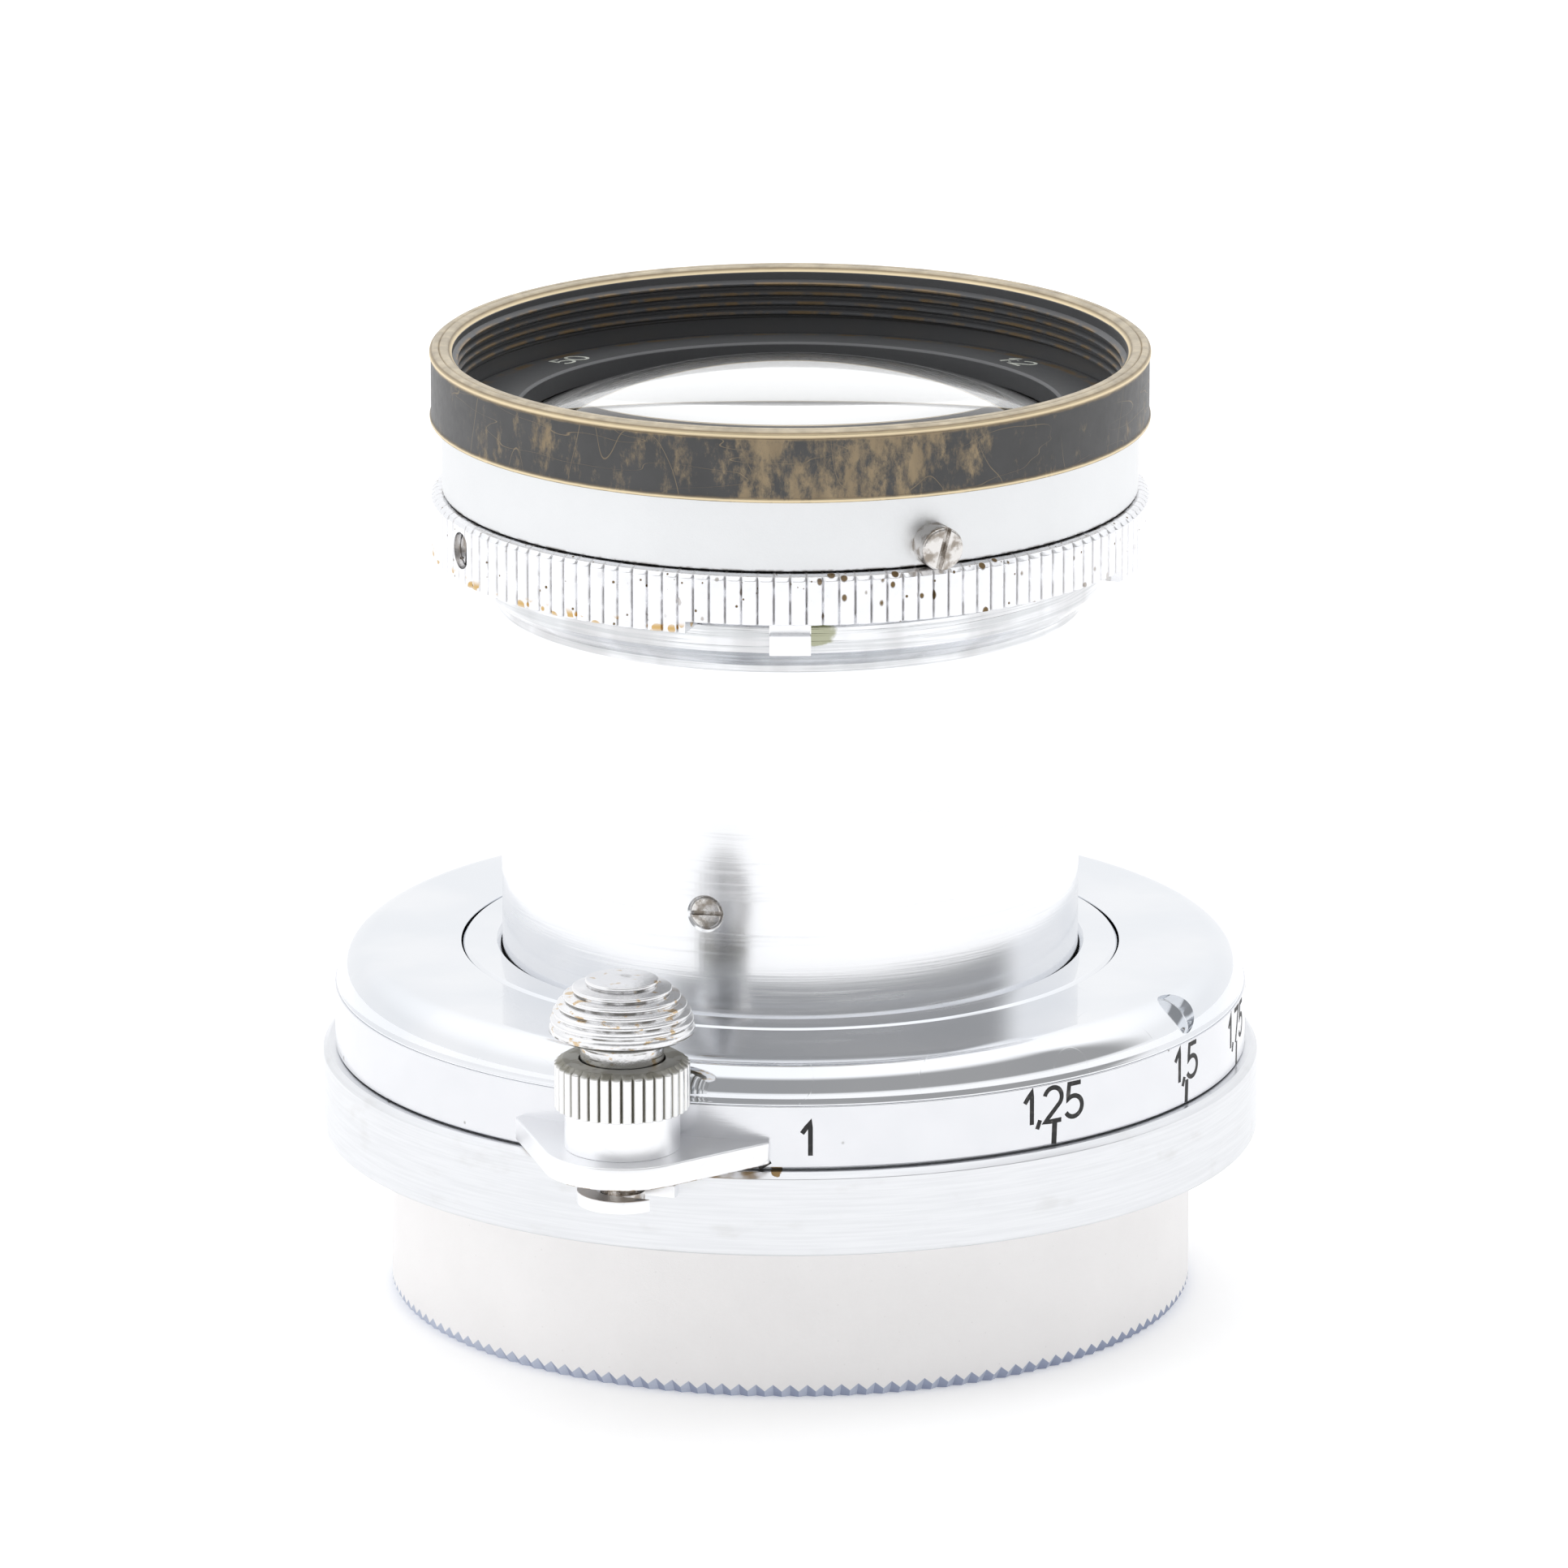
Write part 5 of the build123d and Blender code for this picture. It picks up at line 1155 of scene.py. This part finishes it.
def tube():
    """Telescoping tube with the countersunk seat of its set screw."""
    outline = [(TUBE_BORE_R, TUBE_FOOT), (TUBE_R, TUBE_FOOT, 0.2), (TUBE_R, TUBE_TOP),
               (TUBE_BORE_R, TUBE_TOP)]
    barrel = painted(turned("telescoping_tube", outline), TUBE)
    countersink = [(0, -2.0), (0.55, -2.0, 0), (0.55, -0.45, 0), (0.95, 0.0, 0), (0.95, 0.6, 0), (0, 0.6)]
    seat = turned("seat", countersink, bearings=range(0, 360, 6))
    cut(barrel, painted(moved(seat, radial(SET_SCREW_BEARING, TUBE_R, SET_SCREW_Z)), HOLE))
    return fitted(barrel, "tube", "polished_chrome", "tube")


def tube_set_screw():
    """Slotted screw let into the tube."""
    screw = slotted("tube_screw", 0.78, 0.4, 0.22, 0.22)
    return fitted(painted(moved(screw, radial(SET_SCREW_BEARING, TUBE_R - 0.09, SET_SCREW_Z, 2)), STEEL),
                  "tube", "steel", "tube_set_screw")


def head_barrel():
    """Lip over the tube, flange under the aperture ring and the seat above it."""
    outline = [(TUBE_R, HEAD_FOOT, 0.02), (LIP_R, HEAD_FOOT, 0.04), (LIP_R, HEAD_FOOT + 0.35, 0.03),
               (LIP_R + 0.12, HEAD_FOOT + 0.42, 0.03), (HEAD_R, HEAD_FLANGE_Z, 0.04),
               (HEAD_R, HEAD_FLANGE_TOP, 0.04), (HEAD_NECK_R, HEAD_FLANGE_TOP), (HEAD_NECK_R, HEAD_TOP),
               (14.4, HEAD_TOP), (14.4, 41.2), (13.6, 41.2), (13.6, TUBE_TOP), (TUBE_R, TUBE_TOP)]
    return turned_piece("head_barrel_turned", outline, HEAD, "tube", "chrome", "head_barrel")


def stop_block():
    """Small stop standing on the head's flange."""
    low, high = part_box("stop_block")
    width = (high.x - low.x) / MM
    front = moved(block("aperture_stop", width, 0.85, low.z / MM, 38.0, 0.07),
                  Matrix.Translation((0, -16.07, 0)))
    tongue = moved(block("tongue", width, 0.4, 37.9, high.z / MM, 0.03), Matrix.Translation((0, -15.95, 0)))
    return fitted(painted(joined(front, tongue), LEVER), "tube", "chrome", "stop_block")


def smooth_band():
    """Satin band above the aperture ring."""
    outline = [(HEAD_NECK_R, BAND_FOOT), (BAND_R, BAND_FOOT, 0.1), (BAND_R, BAND_TOP, 0.05),
               (17.1, BAND_TOP), (17.1, 43.9), (HEAD_NECK_R, 43.9)]
    return turned_piece("satin_band", outline, SATIN, "tube", "satin_chrome", "smooth_band")


def index_screw():
    """Cheese-head screw standing proud of the satin band, its slot nearly upright."""
    screw = slotted("index_screw_head", 1.08, 1.9, 0.34, 0.42, 0.16)
    return fitted(painted(moved(screw, radial(INDEX_BEARING, BAND_R + 1.29, INDEX_Z, 75)), STEEL),
                  "tube", "steel", "index_screw")


def front_ring():
    """Front ring: beaded edges outside, a filter thread inside."""
    wall_r = FRONT_R - 0.07
    foot = BAND_TOP + 0.005
    outline = [(FRONT_RELIEF_R, FRONT_FOOT), (17.08, FRONT_FOOT), (17.08, foot, 0.01),
               (FRONT_R, foot, 0.05), (FRONT_R, foot + 0.17, 0.05), (wall_r, foot + 0.23, 0.02),
               (wall_r, FRONT_TOP - 0.4, 0.02), (FRONT_R, FRONT_TOP - 0.34, 0.04),
               (FRONT_R, FRONT_TOP - 0.16, 0.06), (FRONT_R - 0.22, FRONT_TOP, 0.06),
               (FRONT_R - 0.42, FRONT_TOP, 0.02), (FRONT_R - 0.48, FRONT_TOP - 0.08, 0.01),
               (FRONT_R - 0.54, FRONT_TOP, 0.02), (FRONT_THREAD_R + 0.28, FRONT_TOP, 0.05),
               (FRONT_THREAD_R, FRONT_TOP - 0.28, 0.03), (FRONT_THREAD_R, FRONT_TOP - 2.6),
               (FRONT_RELIEF_R, FRONT_TOP - 2.65)]
    ring = painted(turned("front_ring_turned", outline), BLACK_PAINT)
    ring.data.materials.append(ENAMEL)
    for face in ring.data.polygons:
        inside = hypot(face.center.x, face.center.y) / MM < FRONT_THREAD_R + 0.1
        face.material_index = 1 if inside else 0
    fitted(ring, "tube", "brassed_black_paint", "front_ring")
    thread = thread_turns("front_thread", FRONT_THREAD_R, FRONT_THREAD_R - 0.27, FRONT_TOP - 2.6, 4.3,
                          FRONT_PITCH)
    return fitted(painted(thread, ENAMEL), "tube", "black_enamel")


def name_ring():
    """Black ring round the front element."""
    outline = [(NAME_BORE_R, NAME_FOOT), (NAME_R, NAME_FOOT), (NAME_R, NAME_TOP - 0.3, 0.03),
               (NAME_BORE_R + 0.15, NAME_TOP, 0.05), (NAME_BORE_R, NAME_TOP - 0.1, 0.03)]
    return turned_piece("name_ring_turned", outline, ENAMEL, "tube", "black_enamel", "name_ring")


# ================================================================ aperture ring and iris

def aperture_ring():
    """Fluted ring: broad ridges, narrow grooves, a plain patch at its grub screw and a cut-away skirt."""
    outline = [(RING_BORE_R, RING_FOOT), (RING_R, RING_FOOT, 0.05), (RING_R, RING_TOP - 0.3, 0.02),
               (RING_R - 0.2, RING_TOP - 0.1, 0.04), (RING_R - 0.42, RING_TOP, 0.04),
               (RING_BORE_R, RING_TOP)]

    def fluted(bearing, r, z):
        bearing = (bearing + 180) % 360 - 180
        phase = bearing * FLUTES / 360 % 1
        groove = FLUTE_DEPTH * (0.25 * abs(2 * phase - 1) ** 2 + 0.45 * abs(2 * phase - 1) ** 8)
        if abs(bearing - GRUB_BEARING + 1.5) < 4.2:
            groove = 0.1
        if CUTAWAY[0] < bearing < CUTAWAY[1] and z < RING_FOOT + 0.1:
            z += CUTAWAY_TOP - RING_FOOT
        return (r - groove, z) if r > RING_R - 0.12 else (r, z)
    phases = (0, 0.04, 0.1, 0.2, 0.35, 0.5, 0.65, 0.8, 0.9, 0.96)
    bearings = [(flute + phase) * 360 / FLUTES for flute in range(FLUTES) for phase in phases]
    bearings += [edge % 360 + shift for edge in CUTAWAY for shift in (-0.02, 0.02)]
    ring = painted(turned("aperture_ring_fluted", outline, bearings=sorted(bearings), shape=fluted), FLUTED)
    hole = turned("hole", [(0, -3.4), (0.92, -3.4, 0), (0.92, 0.6, 0), (0, 0.6)], bearings=range(0, 360, 6))
    cut(ring, painted(moved(hole, radial(GRUB_BEARING, RING_R, GRUB_Z)), HOLE))
    return fitted(ring, "aperture_ring", "worn_chrome", "aperture_ring", sharp=42)


def aperture_grub_screw():
    """Slotted screw down in the ring's hole, reaching in to the iris sleeve."""
    screw = slotted("aperture_grub", 0.86, 1.5, 0.3, 0.4)
    pin = turned("pin", [(0, -4.3), (0.44, -4.3), (0.44, -1.4), (0, -1.4)], bearings=range(0, 360, 10))
    return fitted(painted(moved(joined(screw, pin), radial(GRUB_BEARING, RING_R - 0.45, GRUB_Z, 80)), STEEL),
                  "aperture_ring", "steel", "aperture_grub_screw")


# ================================================================ glass

def surface(vertex_z, curvature_r, radius):
    """Height of a spherical surface at a distance from the axis."""
    sag = abs(curvature_r) - sqrt(curvature_r ** 2 - radius ** 2)
    return vertex_z - sag if curvature_r > 0 else vertex_z + sag


def element(name, node, front, back, clear=(None, None), material=GLASS):
    """Glass element between two spherical faces, each a vertex height and a radius of curvature."""
    rim = span(node)[0] - 0.01
    sides = []
    for (vertex, curve), edge in zip((front, back), clear):
        edge = edge or rim
        sides.append([(edge * step / 36, surface(vertex, curve, edge * step / 36), 0) for step in range(37)])
    section = sides[0] + [(rim, sides[0][-1][1] - 0.001, 0), (rim, sides[1][-1][1] + 0.001, 0)] + sides[1][::-1]
    piece = turned(name, section, bearings=[1.5 * step for step in range(240)])
    return fitted(painted(piece, material), "tube", "glass", node, sharp=25)


# ================================================================ the whole lens

rear_cap()
flange_ring()
infinity_catch()
mount_barrel()
scale_ring()
shoulder_cover()
cover_grub_screw()
focus_lever()
knob_sleeve()
knob_collar()
lock_button()
collar_ring()
tube()
tube_set_screw()
head_barrel()
stop_block()
smooth_band()
index_screw()
front_ring()
name_ring()
aperture_ring()
aperture_grub_screw()
distance_marks()
index_mark()
name_ring_figures()
element("front_singlet", "front_element", (47.3, 33.0), (43.1, 98.0))
element("front_crown", "front_doublet_crown", (42.7, 19.0), (37.31, 58.0))
element("front_flint", "front_doublet_flint", (37.29, 58.0), (35.6, 12.4), (None, 8.9), FLINT)
element("rear_flint", "rear_doublet_flint", (25.1, -14.0), (23.61, 45.0), (8.6, None), FLINT)
element("rear_crown", "rear_doublet_crown", (23.59, 45.0), (17.6, -19.0))
element("rear_singlet", "rear_element", (17.3, 90.0), (13.9, -36.0))

NODE_LOOKS = {
    "flange_screws": STEEL, "focus_retaining_ring": BRASS_METAL, "drive_keys": STEEL, "key_screws": STEEL,
    "lever_screws": STEEL, "lock_pin": STEEL, "lock_spring": STEEL, "inner_helicoid": BRASS_METAL,
    "rangefinder_cam": BRASS_METAL, "felt_ring": FELT, "bayonet_lugs": BRASS_METAL, "iris_actuator": BLACKENED,
    "iris_housing": BLACKENED, "front_cell": BLACKENED, "front_spacer": BLACKENED, "rear_cell": BLACKENED,
    "rear_spacer": BLACKENED, "rear_retaining_ring": BLACKENED,
}
for blade in range(1, 7):
    NODE_LOOKS[f"iris_blade_{blade}"] = IRIS
for node, look in NODE_LOOKS.items():
    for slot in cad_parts[node].material_slots:
        slot.material = look


# ================================================================ studio

def floor():
    """Pale sweep that the lens stands on."""
    mesh = bpy.data.meshes.new("floor")
    half = 6.0
    corners = [(-half, -half, 0), (half, -half, 0), (half, half, 0), (-half, half, 0)]
    mesh.from_pydata(corners, [], [(0, 1, 2, 3)])
    ground = bpy.data.objects.new("floor", mesh)
    bpy.context.scene.collection.objects.link(ground)
    look = Look("floor_paper", Roughness=0.9, Emission_Strength=0.25)
    look.set("Emission Color", (1.0, 1.0, 1.0))
    look.set("Base Color", look.blend(look.noise(0.05), (0.95, 0.945, 0.94), (0.97, 0.97, 0.97)))
    painted(ground, look.material)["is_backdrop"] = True


def surroundings():
    """Soft white tent that is open and dim on the camera's side."""
    world = bpy.data.worlds.new("tent")
    bpy.context.scene.world = world
    world.use_nodes = True
    tent = Graph(world.node_tree, lambda graph: graph.add("TexCoord").outputs["Generated"])
    middle_bearing = radians(25)
    facing = tent.math("DIVIDE", tent.x * sin(middle_bearing) - tent.y * cos(middle_bearing), tent.r + 0.001)
    dim = tent.ramp(facing, 0.15, 0.45) * tent.ramp(tent.z, 0.04, 0.12) * (1.0 - tent.ramp(tent.z, 0.72, 0.86))
    wall = tent.ramp(tent.z, 0.25, 0.8) * (TENT_TOP - TENT_WALL) + TENT_WALL
    background = tent.tree.nodes["Background"]
    tent.feed(background.inputs["Strength"], wall * (1.0 - dim) + dim * OPENING)
    background.inputs["Color"].default_value = (0.985, 0.99, 1.0, 1.0)


def camera():
    """Long-lens view from a little above the lens."""
    data = bpy.data.cameras.new("camera")
    data.sensor_width = 36.0
    data.lens = 315.6
    data.shift_x = -0.00395
    data.clip_end = 50.0
    viewer = bpy.data.objects.new("camera", data)
    bpy.context.scene.collection.objects.link(viewer)
    elevation = radians(15.47)
    distance = 0.6914
    aim = Vector((0, 0, 0.0259))
    back = Vector((0, -cos(elevation), sin(elevation)))
    viewer.location = aim + back * distance
    viewer.rotation_mode = "QUATERNION"
    viewer.rotation_quaternion = (-back).to_track_quat("-Z", "Y")
    bpy.context.scene.camera = viewer


floor()
surroundings()
camera()
bpy.context.scene.view_settings.view_transform = "Standard"

corners = [list(corner) for corner in (*CAD_BOX, *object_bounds())]
